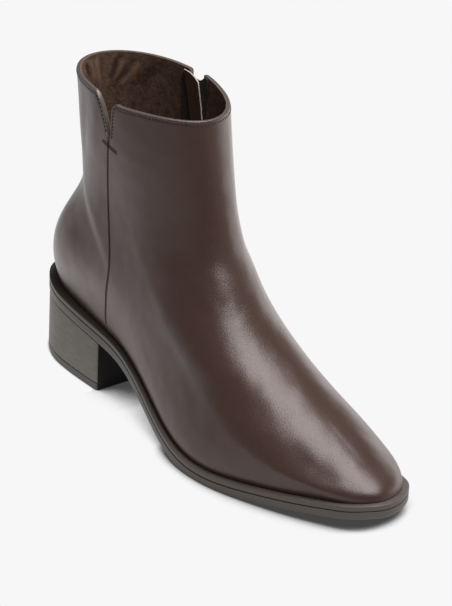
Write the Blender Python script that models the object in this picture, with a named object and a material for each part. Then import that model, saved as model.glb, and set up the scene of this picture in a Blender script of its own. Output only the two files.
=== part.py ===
"""Right ankle boot with a block heel and an inside zip. Metres, +Z up, +X towards the toe, lateral side at -Y.

The upper follows the last: slanted rings run from the back seam to the front line, from the feather edge,
where upper and sole meet, up to the collar. Sizes are in millimetres until a mesh is made. The tables count x
from the sole's rear end and height from the floor, and the origin ends up under the middle of the boot.
"""

import math

import bmesh
import bpy
import numpy as np
from mathutils import Matrix

MM = 0.001
LATERAL = -1
MEDIAL = 1

# Upper: wall, collar and the way its rings are rounded
WALL = 2.4
GAP = 0.3
COLLAR_BACK = 174.7
TOE_SWING = 8.0
TOE_SWING_FROM = 158.0
TOE_SWING_TO = 276.0
BLEND_HEIGHT = 43.5
TUCK = 1.9
TUCK_HEIGHT = 3.9
BACK_ROUND = 2.1
FRONT_ROUND = 2.2
SAG_POWER = 1.5

# Sole, heel and insole
LEDGE = 3.3
HEEL_LEDGE = 2.2
HEEL_LEDGE_FROM = 100.0
HEEL_LEDGE_TO = 32.0
SOLE_REAR = 8.4
SOLE_FRONT = 7.5
SOLE_CHAMFER = 0.8
WELT_HEIGHT = 2.9
BEAD_ROUND = 0.8
BREAST = 74.5
HEEL_FLARE = 0.3
HEEL_EASE = 0.3
TOP_PIECE = 4.0
INSOLE_HEIGHT = 3.0
INSOLE_INSET = 3.2
INSOLE_TOE_INSET = 5.0
INSOLE_TOE_FROM = 235.0

# Side seam with its V notch at the collar
SEAM_HALF = 1.0
SEAM_DEPTH = 0.7
NOTCH_DEPTH = 21.5
NOTCH_LENGTH = 13.0
NOTCH_POWER = 1.6
CORNER = 4.0

# Inside zip
ZIP_CORNER = 1.5
ZIP_PEAK = 3.2
ZIP_FOOT = 58.0
SLIT_HALF = 4.5
TAPE_HALF = 10.0
TAPE_THICK = 0.8
TAPE_DROP = 3.0
TAPE_FOOT = 6.0
TOOTH_PITCH = 3.0
TOOTH_HALF = 2.4
TOOTH_WAIST = 1.8
CHAIN_SINK = 0.4
CHAIN_DROP = 5.0
CHAIN_FOOT = 1.0
GUARD_HALF = 6.2
GUARD_AHEAD = 5.0
GUARD_LEAN = 7.0
GUARD_LEAN_HEIGHT = 26.0
GUARD_THICK = 1.2
GUARD_DROP = 1.0
GUARD_FALL = 2.8

# Zip slider with its bridge, and the pull tab that turns under the bridge
SLIDER_DROP = 13.0
SLIDER_LENGTH = 12.0
SLIDER_HEAD_HALF = 4.0
SLIDER_FOOT_HALF = 2.8
SLIDER_SINK = 0.1
SLIDER_TOP = 2.0
BRIDGE_HALF_LENGTH = 4.0
BRIDGE_POST = 1.6
BRIDGE_HALF = 1.0
BRIDGE_CLEAR = 2.4
BRIDGE_THICK = 1.2
BRIDGE_ROOT = 0.5
TAB_LENGTH = 26.0
TAB_HEAD_HALF = 3.6
TAB_END_HALF = 2.8
TAB_THICK = 1.2
TAB_WINDOW_HALF = 2.2
TAB_WINDOW_END = 6.0
TAB_BAR = 1.2

# How finely the surfaces are divided
FINE = 240
FEATHER_ROWS = (0.0, 0.015, 0.035)
FIRST_WALL_ROW = 0.06
WALL_ROWS = 20
COLLAR_ROWS = 5
BACK_COLUMNS = 9
FRONT_COLUMNS = 19
CROWDING = 1.4
OUTLINE_STEPS = 48
ZIP_ROWS = 20
GUARD_COLUMNS = 7


def table(columns, *rows):
    """The columns of a short table, by name."""
    return dict(zip(columns, np.array(rows, float).T))


# Back seam, from the feather edge to above the collar
BACK_LINE = table(
    ("height", "x"),
    (42.5, 6.0),
    (54.5, 4.0),
    (68.0, 8.0),
    (87.5, 16.5),
    (111.5, 29.5),
    (140.5, 31.0),
    (169.5, 29.2),
    (199.0, 24.0),
)

# Middle line of the toe, vamp, instep and shaft, from the feather edge to the collar
FRONT_LINE = table(
    ("x", "height"),
    (268.5, 15.5),
    (267.5, 18.5),
    (259.5, 25.0),
    (243.5, 35.5),
    (222.5, 47.5),
    (200.7, 59.7),
    (178.2, 73.0),
    (160.4, 90.2),
    (147.7, 109.3),
    (139.9, 130.4),
    (133.8, 152.3),
    (130.5, 169.0),
)

# Feather edge in side view: heel seat, arch, ball and toe spring
FEATHER_LINE = table(
    ("x", "height"),
    (13.0, 45.0),
    (42.0, 41.5),
    (71.0, 37.5),
    (100.0, 31.5),
    (134.0, 17.5),
    (163.0, 9.0),
    (187.5, 7.5),
    (221.5, 10.0),
    (250.5, 13.0),
    (268.5, 15.5),
)

# Half widths of the upper just above the feather edge
PLAN = table(
    ("x", "lateral", "medial"),
    (13.0, 21.5, 25.5),
    (51.5, 26.0, 26.5),
    (90.5, 28.0, 24.5),
    (124.5, 33.5, 23.5),
    (158.0, 40.5, 29.5),
    (187.5, 41.5, 34.0),
    (211.5, 36.5, 34.0),
    (236.0, 28.5, 30.0),
    (255.0, 20.0, 23.2),
    (276.5, 10.5, 14.0),
)

# Half widths of the heel cup, ankle and shaft
SHAFT = table(
    ("height", "lateral", "medial"),
    (42.5, 32.0, 32.0),
    (68.0, 31.5, 29.3),
    (92.0, 28.0, 27.2),
    (116.5, 26.5, 26.8),
    (145.5, 28.8, 30.5),
    (174.5, 31.0, 32.9),
    (199.0, 33.5, 33.0),
)

# Length over which each ring is rounded at its back and front, by its rise from feather edge to collar
ROUNDING = table(
    ("rise", "back", "front"),
    (0.0, 32.0, 13.5),
    (0.1, 31.5, 38.0),
    (0.25, 33.0, 55.0),
    (0.5, 39.5, 63.5),
    (0.75, 43.5, 60.5),
    (1.0, 47.0, 59.0),
)

# Lateral seam between back and front panel
SEAM_LINE = table(
    ("height", "x"),
    (40.0, 78.0),
    (52.0, 81.0),
    (64.0, 84.0),
    (78.0, 85.5),
    (92.0, 82.5),
    (106.0, 79.5),
    (118.0, 78.5),
    (136.0, 80.0),
    (150.0, 82.0),
    (174.0, 85.0),
)

# Middle of the zip on the medial side
ZIP_LINE = table(
    ("height", "x"),
    (50.0, 84.0),
    (80.0, 83.0),
    (116.0, 80.5),
    (146.0, 78.5),
    (174.0, 75.5),
)


def natural_spline(knots, values):
    """Natural cubic spline through the knots, held level outside them."""
    count = len(knots)
    width = np.diff(knots)
    slope = np.diff(values) / width
    matrix = np.eye(count)
    bend = np.zeros(count)
    for i in range(1, count - 1):
        matrix[i, i - 1 : i + 2] = width[i - 1], 2 * (width[i - 1] + width[i]), width[i]
        bend[i] = 6 * (slope[i] - slope[i - 1])
    second = np.linalg.solve(matrix, bend)

    def value(at):
        at = np.clip(np.asarray(at, float), knots[0], knots[-1])
        i = np.clip(np.searchsorted(knots, at) - 1, 0, count - 2)
        step = at - knots[i]
        start = slope[i] - width[i] * (2 * second[i] + second[i + 1]) / 6
        cubic = (second[i + 1] - second[i]) / (6 * width[i])
        return values[i] + step * start + step**2 * second[i] / 2 + step**3 * cubic

    return value


def smooth(start, end, at):
    """Smooth step from 0 at start to 1 at end."""
    t = np.clip((np.asarray(at, float) - start) / (end - start), 0, 1)
    return t * t * (3 - 2 * t)


def unit(vectors):
    """The vectors at length 1."""
    return vectors / np.linalg.norm(vectors, axis=-1, keepdims=True)


def running_length(points):
    """Length along a row of points, from its first one."""
    steps = np.linalg.norm(np.diff(points, axis=0), axis=1)
    return np.concatenate([[0.0], np.cumsum(steps)])


FRONT_RUN = running_length(np.stack([FRONT_LINE["x"], FRONT_LINE["height"]], axis=1))
back_x = natural_spline(BACK_LINE["height"], BACK_LINE["x"])
front_x = natural_spline(FRONT_RUN, FRONT_LINE["x"])
front_z = natural_spline(FRONT_RUN, FRONT_LINE["height"])
feather_z = natural_spline(FEATHER_LINE["x"], FEATHER_LINE["height"])
seam_x = natural_spline(SEAM_LINE["height"], SEAM_LINE["x"])
zip_x = natural_spline(ZIP_LINE["height"], ZIP_LINE["x"])
back_rounding = natural_spline(ROUNDING["rise"], ROUNDING["back"])
front_rounding = natural_spline(ROUNDING["rise"], ROUNDING["front"])
plan_half = {
    LATERAL: natural_spline(PLAN["x"], PLAN["lateral"]),
    MEDIAL: natural_spline(PLAN["x"], PLAN["medial"]),
}
shaft_half = {
    LATERAL: natural_spline(SHAFT["height"], SHAFT["lateral"]),
    MEDIAL: natural_spline(SHAFT["height"], SHAFT["medial"]),
}
panel_line = {LATERAL: seam_x, MEDIAL: zip_x}
REAR_Z = float(feather_z(0.0))
REAR_X = float(back_x(REAR_Z))
TOE_X = float(front_x(0.0))
TOE_Z = float(feather_z(TOE_X))


def wall(rise, along, side):
    """Outer face of the upper: rise is 0 at the feather edge and 1 at the collar, along is 0 at the back."""
    rear_z = REAR_Z + (COLLAR_BACK - REAR_Z) * rise
    rear_x = back_x(rear_z)
    fore_x = front_x(FRONT_RUN[-1] * rise)
    fore_z = front_z(FRONT_RUN[-1] * rise)
    x = rear_x + (fore_x - rear_x) * along
    straight = REAR_Z + (TOE_Z - REAR_Z) * (x - REAR_X) / (TOE_X - REAR_X)
    sag = np.maximum(1 - rise, 0) ** SAG_POWER * (feather_z(x) - straight)
    z = rear_z + (fore_z - rear_z) * along + sag
    height = np.maximum(z - feather_z(x), 0)
    half = plan_half[side](x)
    half = half + (shaft_half[side](z) - half) * smooth(0, BLEND_HEIGHT, height)
    half = half - TUCK * np.exp(-height / TUCK_HEIGHT)
    to_back = np.clip(1 - (x - rear_x) / back_rounding(rise), 0, 1)
    to_front = np.clip(1 - (fore_x - x) / front_rounding(rise), 0, 1)
    cap = np.sqrt((1 - to_back**BACK_ROUND) * (1 - to_front**FRONT_ROUND))
    y = side * half * cap + TOE_SWING * smooth(TOE_SWING_FROM, TOE_SWING_TO, x)
    return np.stack([x, y, z], axis=-1)


def half_ring(rise, side):
    """Fine points of one side of a ring, from back to front, and their running length."""
    along = (1 - np.cos(np.linspace(0, np.pi, FINE))) / 2
    points = wall(rise, along, side)
    return points, running_length(points)


def at_length(rise, side, lengths):
    """Points of a half ring at the given lengths from the back seam."""
    points, run = half_ring(rise, side)
    return np.stack([np.interp(lengths, run, points[:, k]) for k in range(3)], axis=-1)


def crossing(rise, side):
    """Length from the back seam at which a half ring meets the side's seam or zip."""
    points, run = half_ring(rise, side)
    return float(np.interp(0.0, points[:, 0] - panel_line[side](points[:, 2]), run))


def on_line(rise, side, offset=0.0):
    """Point at an offset in front of the side's seam or zip."""
    return at_length(rise, side, crossing(rise, side) + offset)


RISE_STEP = 0.1
RISE_HEIGHT = float(on_line(1.0, MEDIAL)[2] - on_line(1.0 - RISE_STEP, MEDIAL)[2]) / RISE_STEP
NOTCH_RISE = 1.0 - NOTCH_DEPTH / RISE_HEIGHT


def rise_of(height, side):
    """Rise of the ring that meets the side's seam or zip at this height."""
    rises = np.linspace(0, 1, FINE)
    heights = [on_line(rise, side)[2] for rise in rises]
    return float(np.interp(height, heights, rises))


ZIP_FOOT_RISE = rise_of(ZIP_FOOT, MEDIAL)


def corner_drop(distance, radius):
    """Drop of the collar at a panel's rounded corner, by distance from the panel's edge."""
    inside = np.clip(radius - distance, 0, radius)
    return radius - np.sqrt(radius**2 - inside**2)


def notch_drop(distance):
    """Drop of the back panel's top line into the V notch, by distance behind the seam."""
    return NOTCH_DEPTH * np.maximum(1 - distance / NOTCH_LENGTH, 0) ** NOTCH_POWER


# Columns set out from the seam and from the zip, with the drop of the collar at each
EDGE_STEPS = np.array([0.0, CORNER / 3, CORNER])
NOTCH_STEPS = np.array([NOTCH_LENGTH, NOTCH_LENGTH / 2, NOTCH_LENGTH / 4, SEAM_HALF, 0.0])
zip_drops = corner_drop(EDGE_STEPS, ZIP_CORNER)
front_shares = 1 - (1 - np.linspace(0, 1, FRONT_COLUMNS + 1)[1:]) ** CROWDING
marks = {
    LATERAL: np.concatenate([-NOTCH_STEPS, SEAM_HALF + EDGE_STEPS]),
    MEDIAL: np.concatenate([-SLIT_HALF - EDGE_STEPS[::-1], SLIT_HALF + EDGE_STEPS]),
}
mark_drops = {
    LATERAL: np.concatenate([notch_drop(NOTCH_STEPS), corner_drop(EDGE_STEPS, CORNER)]),
    MEDIAL: np.concatenate([zip_drops[::-1], zip_drops - ZIP_PEAK]),
}
front_drops = {LATERAL: np.zeros(FRONT_COLUMNS), MEDIAL: -ZIP_PEAK * (1 - front_shares) ** 3}
SEAM_COLUMN = BACK_COLUMNS + len(NOTCH_STEPS) - 1
SLIT_COLUMN = BACK_COLUMNS + len(EDGE_STEPS) - 1


def column_lengths(rise, side):
    """Lengths from the back seam of one side's columns, crowded towards the front."""
    end = half_ring(rise, side)[1][-1]
    middle = crossing(rise, side) + marks[side]
    back = middle[0] * np.linspace(0, 1, BACK_COLUMNS, endpoint=False)
    return np.concatenate([back, middle, middle[-1] + (end - middle[-1]) * front_shares])


def side_grid(side, rows):
    """Points of one side of the upper, a row for each ring and columns from back to front."""
    drops = np.concatenate([np.zeros(BACK_COLUMNS), mark_drops[side], front_drops[side]])
    grid = []
    for row in rows:
        rises = row - max(row - NOTCH_RISE, 0) * drops / NOTCH_DEPTH
        columns = enumerate(rises)
        grid.append([at_length(rise, side, column_lengths(rise, side)[j]) for j, rise in columns])
    return np.array(grid)


def vertex_normals(points, quads):
    """Outward normals at the points, from the quads around each."""
    normals = np.zeros_like(points)
    for quad in quads:
        a, b, c, d = points[list(quad)]
        normals[list(quad)] += np.cross(c - a, d - b)
    return unit(normals + 1e-12)


def walled(outer, inner, quads):
    """Closed solid between two sheets of the same quads, with a rim along every open edge."""
    count = len(outer)
    faces = list(quads) + [tuple(count + i for i in reversed(quad)) for quad in quads]
    edges = {(quad[k], quad[(k + 1) % 4]) for quad in quads for k in range(4)}
    for a, b in edges:
        if (b, a) not in edges:
            faces.append((b, a, count + a, count + b))
    return np.concatenate([outer, inner]), faces


def grid_quads(rows, columns, closed=False):
    """Quads of a grid as index tuples, joined round where it is closed."""
    quads = []
    for i in range(rows - 1):
        for j in range(columns if closed else columns - 1):
            k = (j + 1) % columns
            quads.append((i * columns + j, i * columns + k, (i + 1) * columns + k, (i + 1) * columns + j))
    return quads


def upper():
    """Hollow leather upper, open at the collar, at the V notch, at the zip slit and underneath."""
    walls = np.linspace(FIRST_WALL_ROW, NOTCH_RISE, WALL_ROWS)
    rows = np.concatenate([FEATHER_ROWS, walls, np.linspace(NOTCH_RISE, 1, COLLAR_ROWS)[1:]])
    notch_row = len(FEATHER_ROWS) + WALL_ROWS - 1
    slit_row = int(np.argmin(np.abs(rows - ZIP_FOOT_RISE)))
    rows[slit_row] = ZIP_FOOT_RISE
    lateral = side_grid(LATERAL, rows)
    medial = side_grid(MEDIAL, rows)
    grid = np.concatenate([lateral, medial[:, -2:0:-1]], axis=1)
    columns = grid.shape[1]
    slit = lateral.shape[1] + medial.shape[1] - 3 - SLIT_COLUMN
    open_from = {SEAM_COLUMN - 1: notch_row, SEAM_COLUMN: notch_row, slit: slit_row}
    quads = grid_quads(len(rows), columns, closed=True)
    kept = [q for n, q in enumerate(quads) if n // columns < open_from.get(n % columns, len(rows))]
    points = grid.reshape(-1, 3)
    normals = vertex_normals(points, kept)
    inward = normals.copy()
    inward[:columns, 2] = 0
    inner = points - WALL * unit(inward)
    groove = np.zeros(len(points))
    groove[SEAM_COLUMN::columns] = SEAM_DEPTH
    return walled(points - groove[:, None] * normals, inner, kept)


def outline(grow):
    """Closed loop in plan at grow(x) outside the feather edge: rear, lateral side, toe, medial side."""
    along = (1 - np.cos(np.linspace(0, np.pi, OUTLINE_STEPS + 1))) / 2
    lateral = wall(0.0, along, LATERAL)[:, :2]
    medial = wall(0.0, along, MEDIAL)[-2:0:-1, :2]
    loop = np.concatenate([lateral, medial])
    ahead = np.roll(loop, -1, axis=0) - np.roll(loop, 1, axis=0)
    outward = unit(np.stack([ahead[:, 1], -ahead[:, 0]], axis=1))
    return loop + outward * grow(loop[:, 0])[:, None]


def ledge(x):
    """Width of the sole's edge outside the feather edge."""
    return LEDGE + HEEL_LEDGE * smooth(HEEL_LEDGE_FROM, HEEL_LEDGE_TO, x)


def welt_top(x):
    """Height of the welt's top, just under the feather edge."""
    return feather_z(x) - GAP


def sole_bottom(x):
    """Height of the outsole's underside, flat on the floor at the ball."""
    share = np.clip((x - REAR_X) / (TOE_X - REAR_X), 0, 1)
    return np.maximum(welt_top(x) - SOLE_REAR - (SOLE_FRONT - SOLE_REAR) * share, 0)


def lifted(loop, height):
    """A loop in plan raised to the given height over x."""
    return np.column_stack([loop, height(loop[:, 0])])


def stacked(rings):
    """Closed solid through rings of equal count, from bottom to top, closed across from side to side."""
    count = len(rings[0])
    faces = grid_quads(len(rings), count, closed=True)
    top = (len(rings) - 1) * count
    for i in range((count - 1) // 2 + 1):
        across = dict.fromkeys([i, i + 1, (count - i - 1) % count, (count - i) % count])
        strip = list(across)
        if len(strip) > 2:
            faces.append(tuple(reversed(strip)))
            faces.append(tuple(top + k for k in strip))
    return np.concatenate(rings), faces


def sole_ring(inset, height):
    """Ring round the sole at an inset from its edge."""
    return lifted(outline(lambda x: ledge(x) - inset), height)


def outsole():
    """Outsole with its chamfered edge, arch and toe spring."""

    def top(x):
        return welt_top(x) - WELT_HEIGHT - GAP

    return stacked(
        [
            sole_ring(SOLE_CHAMFER, sole_bottom),
            sole_ring(0.0, lambda x: sole_bottom(x) + SOLE_CHAMFER),
            sole_ring(0.0, lambda x: top(x) - BEAD_ROUND / 2),
            sole_ring(BEAD_ROUND / 2, top),
        ]
    )


def welt():
    """Welt with a rounded bead for an edge."""

    def bottom(x):
        return welt_top(x) - WELT_HEIGHT

    return stacked(
        [
            sole_ring(BEAD_ROUND / 2, bottom),
            sole_ring(0.0, lambda x: bottom(x) + BEAD_ROUND),
            sole_ring(0.0, lambda x: welt_top(x) - BEAD_ROUND),
            sole_ring(BEAD_ROUND, welt_top),
        ]
    )


def heel_ring(grow, height):
    """Ring round the heel: the rear of the sole's edge, cut straight at the breast."""
    loop = outline(lambda x: ledge(x) + grow)
    base = outline(lambda x: 0 * x)[: OUTLINE_STEPS + 1, 0]
    rear = int(np.sum(base < BREAST - 2 * LEDGE))
    lateral = loop[: OUTLINE_STEPS + 1]
    medial = np.roll(loop[::-1], 1, axis=0)[: OUTLINE_STEPS + 1]
    ends = [(BREAST, np.interp(BREAST, half[:, 0], half[:, 1])) for half in (lateral, medial)]
    return lifted(np.vstack([lateral[:rear], ends, medial[1:rear][::-1]]), height)


def level(height):
    """The same height at every x."""
    return lambda x: np.full_like(x, height)


def heel_block():
    """Block heel under the outsole, slightly wider at its foot."""
    return stacked(
        [
            heel_ring(HEEL_FLARE, level(TOP_PIECE + GAP)),
            heel_ring(-HEEL_EASE, lambda x: sole_bottom(x) - GAP),
        ]
    )


def heel_top_piece():
    """Flat wear layer under the heel block."""
    return stacked(
        [
            heel_ring(HEEL_FLARE - HEEL_EASE, level(0.0)),
            heel_ring(HEEL_FLARE, level(HEEL_EASE)),
            heel_ring(HEEL_FLARE, level(TOP_PIECE)),
        ]
    )


def insole():
    """Insole inside the upper, on the welt."""

    def grow(x):
        return -INSOLE_INSET - INSOLE_TOE_INSET * smooth(INSOLE_TOE_FROM, TOE_X, x)

    loop = outline(grow)
    return stacked([lifted(loop, feather_z), lifted(loop, lambda x: feather_z(x) + INSOLE_HEIGHT)])


def zip_sheet(rises, offsets, depth, thickness):
    """Solid sheet along the zip at a depth under the outer face, for grids of rises and offsets."""
    shape = np.broadcast(rises, offsets).shape
    pairs = zip(np.broadcast_to(rises, shape).flat, np.broadcast_to(offsets, shape).flat)
    points = np.array([on_line(rise, MEDIAL, offset) for rise, offset in pairs])
    quads = grid_quads(*shape)
    normals = vertex_normals(points, quads)
    return walled(points - depth * normals, points - (depth + thickness) * normals, quads)


def zip_rises(foot, top_drop, count):
    """Rises along the zip from a height above the slit's foot to a drop below the collar."""
    return np.linspace(rise_of(ZIP_FOOT + foot, MEDIAL), 1 - top_drop / RISE_HEIGHT, count)


def zip_tape():
    """Woven tape that carries the teeth, behind the slit."""
    offsets = np.linspace(TAPE_HALF, -TAPE_HALF, 5)[None, :]
    rises = zip_rises(-TAPE_FOOT, TAPE_DROP, ZIP_ROWS)[:, None]
    return zip_sheet(rises, offsets, WALL + GAP, TAPE_THICK)


def zip_chain():
    """The closed rows of teeth in the slit."""
    length = (COLLAR_BACK - CHAIN_DROP) - ZIP_FOOT
    rises = zip_rises(CHAIN_FOOT, CHAIN_DROP, 2 * round(length / TOOTH_PITCH))
    half = np.where(np.arange(len(rises)) % 2, TOOTH_WAIST, TOOTH_HALF)
    offsets = half[:, None] * np.array([1.0, -1.0])
    return zip_sheet(rises[:, None], offsets, CHAIN_SINK, WALL - CHAIN_SINK)


def zip_guard():
    """Leather flap behind the tape. It leans back near the collar, with a rounded top corner in front."""
    across = np.linspace(1, -1, GUARD_COLUMNS)[None, :]
    drops = GUARD_DROP + GUARD_FALL * ((1 + across) / 2) ** 3
    share = np.linspace(0, 1, ZIP_ROWS)[:, None]
    rises = ZIP_FOOT_RISE + share * (1 - drops / RISE_HEIGHT - ZIP_FOOT_RISE)
    near_collar = np.clip(1 - (1 - rises) * RISE_HEIGHT / GUARD_LEAN_HEIGHT, 0, 1)
    offsets = GUARD_AHEAD - GUARD_LEAN * near_collar + GUARD_HALF * across
    return zip_sheet(rises, offsets, WALL + TAPE_THICK + 2 * GAP, GUARD_THICK)


def slider_frame():
    """Place of the slider on the zip: matrix with columns across, up and out, and its point on the wall."""
    rise = 1 - SLIDER_DROP / RISE_HEIGHT
    here = on_line(rise, MEDIAL)
    up = unit(on_line(rise + RISE_STEP / 4, MEDIAL) - on_line(rise - RISE_STEP / 4, MEDIAL))
    fore = on_line(rise, MEDIAL, SLIT_HALF) - on_line(rise, MEDIAL, -SLIT_HALF)
    out = unit(np.cross(up, fore))
    return np.column_stack([np.cross(up, out), up, out]), here


# The origin lies on the floor, under the middle of the sole and heel
edge = np.vstack([outline(ledge), heel_ring(HEEL_FLARE, level(0.0))[:, :2]])
MIDDLE = np.array([*(edge.min(axis=0) + edge.max(axis=0)) / 2, 0.0])


def clear_scene():
    """Removes every object that the file starts with."""
    for obj in list(bpy.data.objects):
        bpy.data.objects.remove(obj)


def material(name, color, roughness, metallic=0.0):
    """Principled material with a plain finish."""
    made = bpy.data.materials.new(name)
    made.use_nodes = True
    shader = made.node_tree.nodes["Principled BSDF"]
    shader.inputs["Base Color"].default_value = (*color, 1.0)
    shader.inputs["Roughness"].default_value = roughness
    shader.inputs["Metallic"].default_value = metallic
    return made


def add_object(name, mesh, finish, smooth_angle=40.0):
    """Object for a finished mesh, shaded smooth except at sharp edges."""
    mesh.materials.append(finish)
    mesh.shade_smooth()
    mesh.set_sharp_from_angle(angle=math.radians(smooth_angle))
    obj = bpy.data.objects.new(name, mesh)
    bpy.context.scene.collection.objects.link(obj)
    return obj


def add_solid(name, solid, finish):
    """Object from points in millimetres and faces, in the boot's own frame."""
    points, faces = solid
    shape = bmesh.new()
    corners = [shape.verts.new(point) for point in (points - MIDDLE) * MM]
    for face in faces:
        shape.faces.new([corners[i] for i in face])
    loose = [corner for corner in shape.verts if not corner.link_faces]
    bmesh.ops.delete(shape, geom=loose, context="VERTS")
    bmesh.ops.recalc_face_normals(shape, faces=shape.faces)
    mesh = bpy.data.meshes.new(name)
    shape.to_mesh(mesh)
    shape.free()
    return add_object(name, mesh, finish)


def prism(name, corners, axis, low, high):
    """Mesh of a flat outline in millimetres, drawn out along one axis from low to high."""
    shape = bmesh.new()
    low_ring = []
    for corner in corners:
        low_ring.append(shape.verts.new([value * MM for value in np.insert(corner, axis, low)]))
    face = shape.faces.new(low_ring)
    drawn = bmesh.ops.extrude_face_region(shape, geom=[face])
    step = np.insert([0.0, 0.0], axis, (high - low) * MM)
    moved = [item for item in drawn["geom"] if isinstance(item, bmesh.types.BMVert)]
    bmesh.ops.translate(shape, verts=moved, vec=step)
    bmesh.ops.recalc_face_normals(shape, faces=shape.faces)
    mesh = bpy.data.meshes.new(name)
    shape.to_mesh(mesh)
    shape.free()
    return mesh


def join(obj, tool_mesh, operation):
    """Boolean of an object with a helper that stays out of sight."""
    helper = bpy.data.objects.new(tool_mesh.name, tool_mesh)
    bpy.context.scene.collection.objects.link(helper)
    helper.matrix_world = obj.matrix_world
    helper.hide_render = True
    helper.display_type = "WIRE"
    boolean = obj.modifiers.new(tool_mesh.name, "BOOLEAN")
    boolean.operation = operation
    boolean.solver = "EXACT"
    boolean.object = helper


def place(turn, point):
    """World matrix for a turned frame at a point of the tables, in metres."""
    matrix = Matrix(turn.tolist()).to_4x4()
    matrix.translation = (point - MIDDLE) * MM
    return matrix


def add_slider(finish):
    """Slider plate on the chain, with the bridge that holds the pull tab."""
    turn, here = slider_frame()
    half = SLIDER_LENGTH / 2
    plate = (
        (-SLIDER_FOOT_HALF, -half),
        (SLIDER_FOOT_HALF, -half),
        (SLIDER_HEAD_HALF, 0.0),
        (SLIDER_HEAD_HALF, half),
        (-SLIDER_HEAD_HALF, half),
        (-SLIDER_HEAD_HALF, 0.0),
    )
    slider = add_object("zip_slider", prism("zip_slider", plate, 2, -SLIDER_SINK, SLIDER_TOP), finish)
    slider.matrix_world = place(turn, here)
    end = BRIDGE_HALF_LENGTH
    inner = end - BRIDGE_POST
    root = SLIDER_TOP - BRIDGE_ROOT
    under = SLIDER_TOP + BRIDGE_CLEAR
    over = under + BRIDGE_THICK
    arch = (
        (-end, root),
        (-inner, root),
        (-inner, under),
        (inner, under),
        (inner, root),
        (end, root),
        (end, over),
        (-end, over),
    )
    join(slider, prism("bridge", arch, 0, -BRIDGE_HALF, BRIDGE_HALF), "UNION")


def add_pull_tab(finish):
    """Pull tab with a window for the bridge. Its origin lies on the bar that turns under the bridge."""
    turn, here = slider_frame()
    bar = TAB_BAR / 2
    tab = (
        (-TAB_HEAD_HALF, bar),
        (-TAB_HEAD_HALF, -TAB_WINDOW_END),
        (-TAB_END_HALF, TAB_END_HALF / 2 - TAB_LENGTH),
        (-TAB_END_HALF / 2, -TAB_LENGTH),
        (TAB_END_HALF / 2, -TAB_LENGTH),
        (TAB_END_HALF, TAB_END_HALF / 2 - TAB_LENGTH),
        (TAB_HEAD_HALF, -TAB_WINDOW_END),
        (TAB_HEAD_HALF, bar),
    )
    window = (
        (-TAB_WINDOW_HALF, -bar),
        (-TAB_WINDOW_HALF, -TAB_WINDOW_END),
        (TAB_WINDOW_HALF, -TAB_WINDOW_END),
        (TAB_WINDOW_HALF, -bar),
    )
    half = TAB_THICK / 2
    pull_tab = add_object("zip_pull_tab", prism("zip_pull_tab", tab, 2, -half, half), finish)
    pivot = here + turn[:, 2] * (SLIDER_TOP + BRIDGE_CLEAR / 2)
    pull_tab.matrix_world = place(turn, pivot)
    join(pull_tab, prism("window", window, 2, -TAB_THICK, TAB_THICK), "DIFFERENCE")


def main():
    clear_scene()
    leather = material("brown_leather", (0.075, 0.048, 0.04), 0.38)
    sole_rubber = material("sole_rubber", (0.1, 0.09, 0.082), 0.5)
    heel_stack = material("heel_stack", (0.11, 0.1, 0.09), 0.55)
    sock_leather = material("sock_leather", (0.03, 0.019, 0.014), 0.8)
    tape_cloth = material("tape_cloth", (0.02, 0.014, 0.011), 0.85)
    zip_metal = material("zip_metal", (0.45, 0.42, 0.38), 0.3, 1.0)
    add_solid("outsole", outsole(), sole_rubber)
    add_solid("welt", welt(), sole_rubber)
    add_solid("heel_block", heel_block(), heel_stack)
    add_solid("heel_top_piece", heel_top_piece(), sole_rubber)
    add_solid("insole", insole(), sock_leather)
    add_solid("upper", upper(), leather)
    add_solid("zip_tape", zip_tape(), tape_cloth)
    add_solid("zip_chain", zip_chain(), zip_metal)
    add_solid("zip_guard", zip_guard(), leather)
    add_slider(zip_metal)
    add_pull_tab(zip_metal)


main()
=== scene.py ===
"""Looks of a right ankle boot with a block heel and an inside zip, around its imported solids.

Metres, +Z up, +X towards the toe, lateral side at -Y. The sizes and tables of upper, sole and zip start from
those of the solids: millimetres, with x counted from the sole's rear end and height from the floor.
"""

import functools
import math

import bmesh
import bpy
import numpy as np
from mathutils import Matrix, Vector, kdtree


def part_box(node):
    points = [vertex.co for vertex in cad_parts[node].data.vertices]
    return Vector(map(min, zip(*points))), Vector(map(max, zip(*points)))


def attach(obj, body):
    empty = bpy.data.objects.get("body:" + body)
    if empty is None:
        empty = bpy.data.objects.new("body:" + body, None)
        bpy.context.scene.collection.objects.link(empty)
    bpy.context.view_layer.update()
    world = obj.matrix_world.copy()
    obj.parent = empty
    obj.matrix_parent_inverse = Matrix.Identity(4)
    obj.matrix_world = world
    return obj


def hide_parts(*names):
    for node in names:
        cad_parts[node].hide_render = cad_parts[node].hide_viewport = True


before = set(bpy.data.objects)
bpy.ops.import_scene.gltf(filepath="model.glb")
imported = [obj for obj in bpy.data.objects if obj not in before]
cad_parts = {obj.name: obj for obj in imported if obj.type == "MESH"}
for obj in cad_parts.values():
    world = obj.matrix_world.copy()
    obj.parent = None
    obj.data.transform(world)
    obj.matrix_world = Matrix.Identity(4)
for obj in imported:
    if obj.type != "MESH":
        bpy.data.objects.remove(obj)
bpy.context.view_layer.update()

MM = 0.001
LATERAL = -1
MEDIAL = 1

# Upper: collar and the way its rings are rounded
COLLAR_BACK = 174.7
TOE_SWING = 8.0
TOE_SWING_FROM = 158.0
TOE_SWING_TO = 276.0
BLEND_HEIGHT = 43.5
TUCK = 1.9
TUCK_HEIGHT = 3.9
BACK_ROUND = 2.1
FRONT_ROUND = 2.2
SAG_POWER = 1.5

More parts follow.
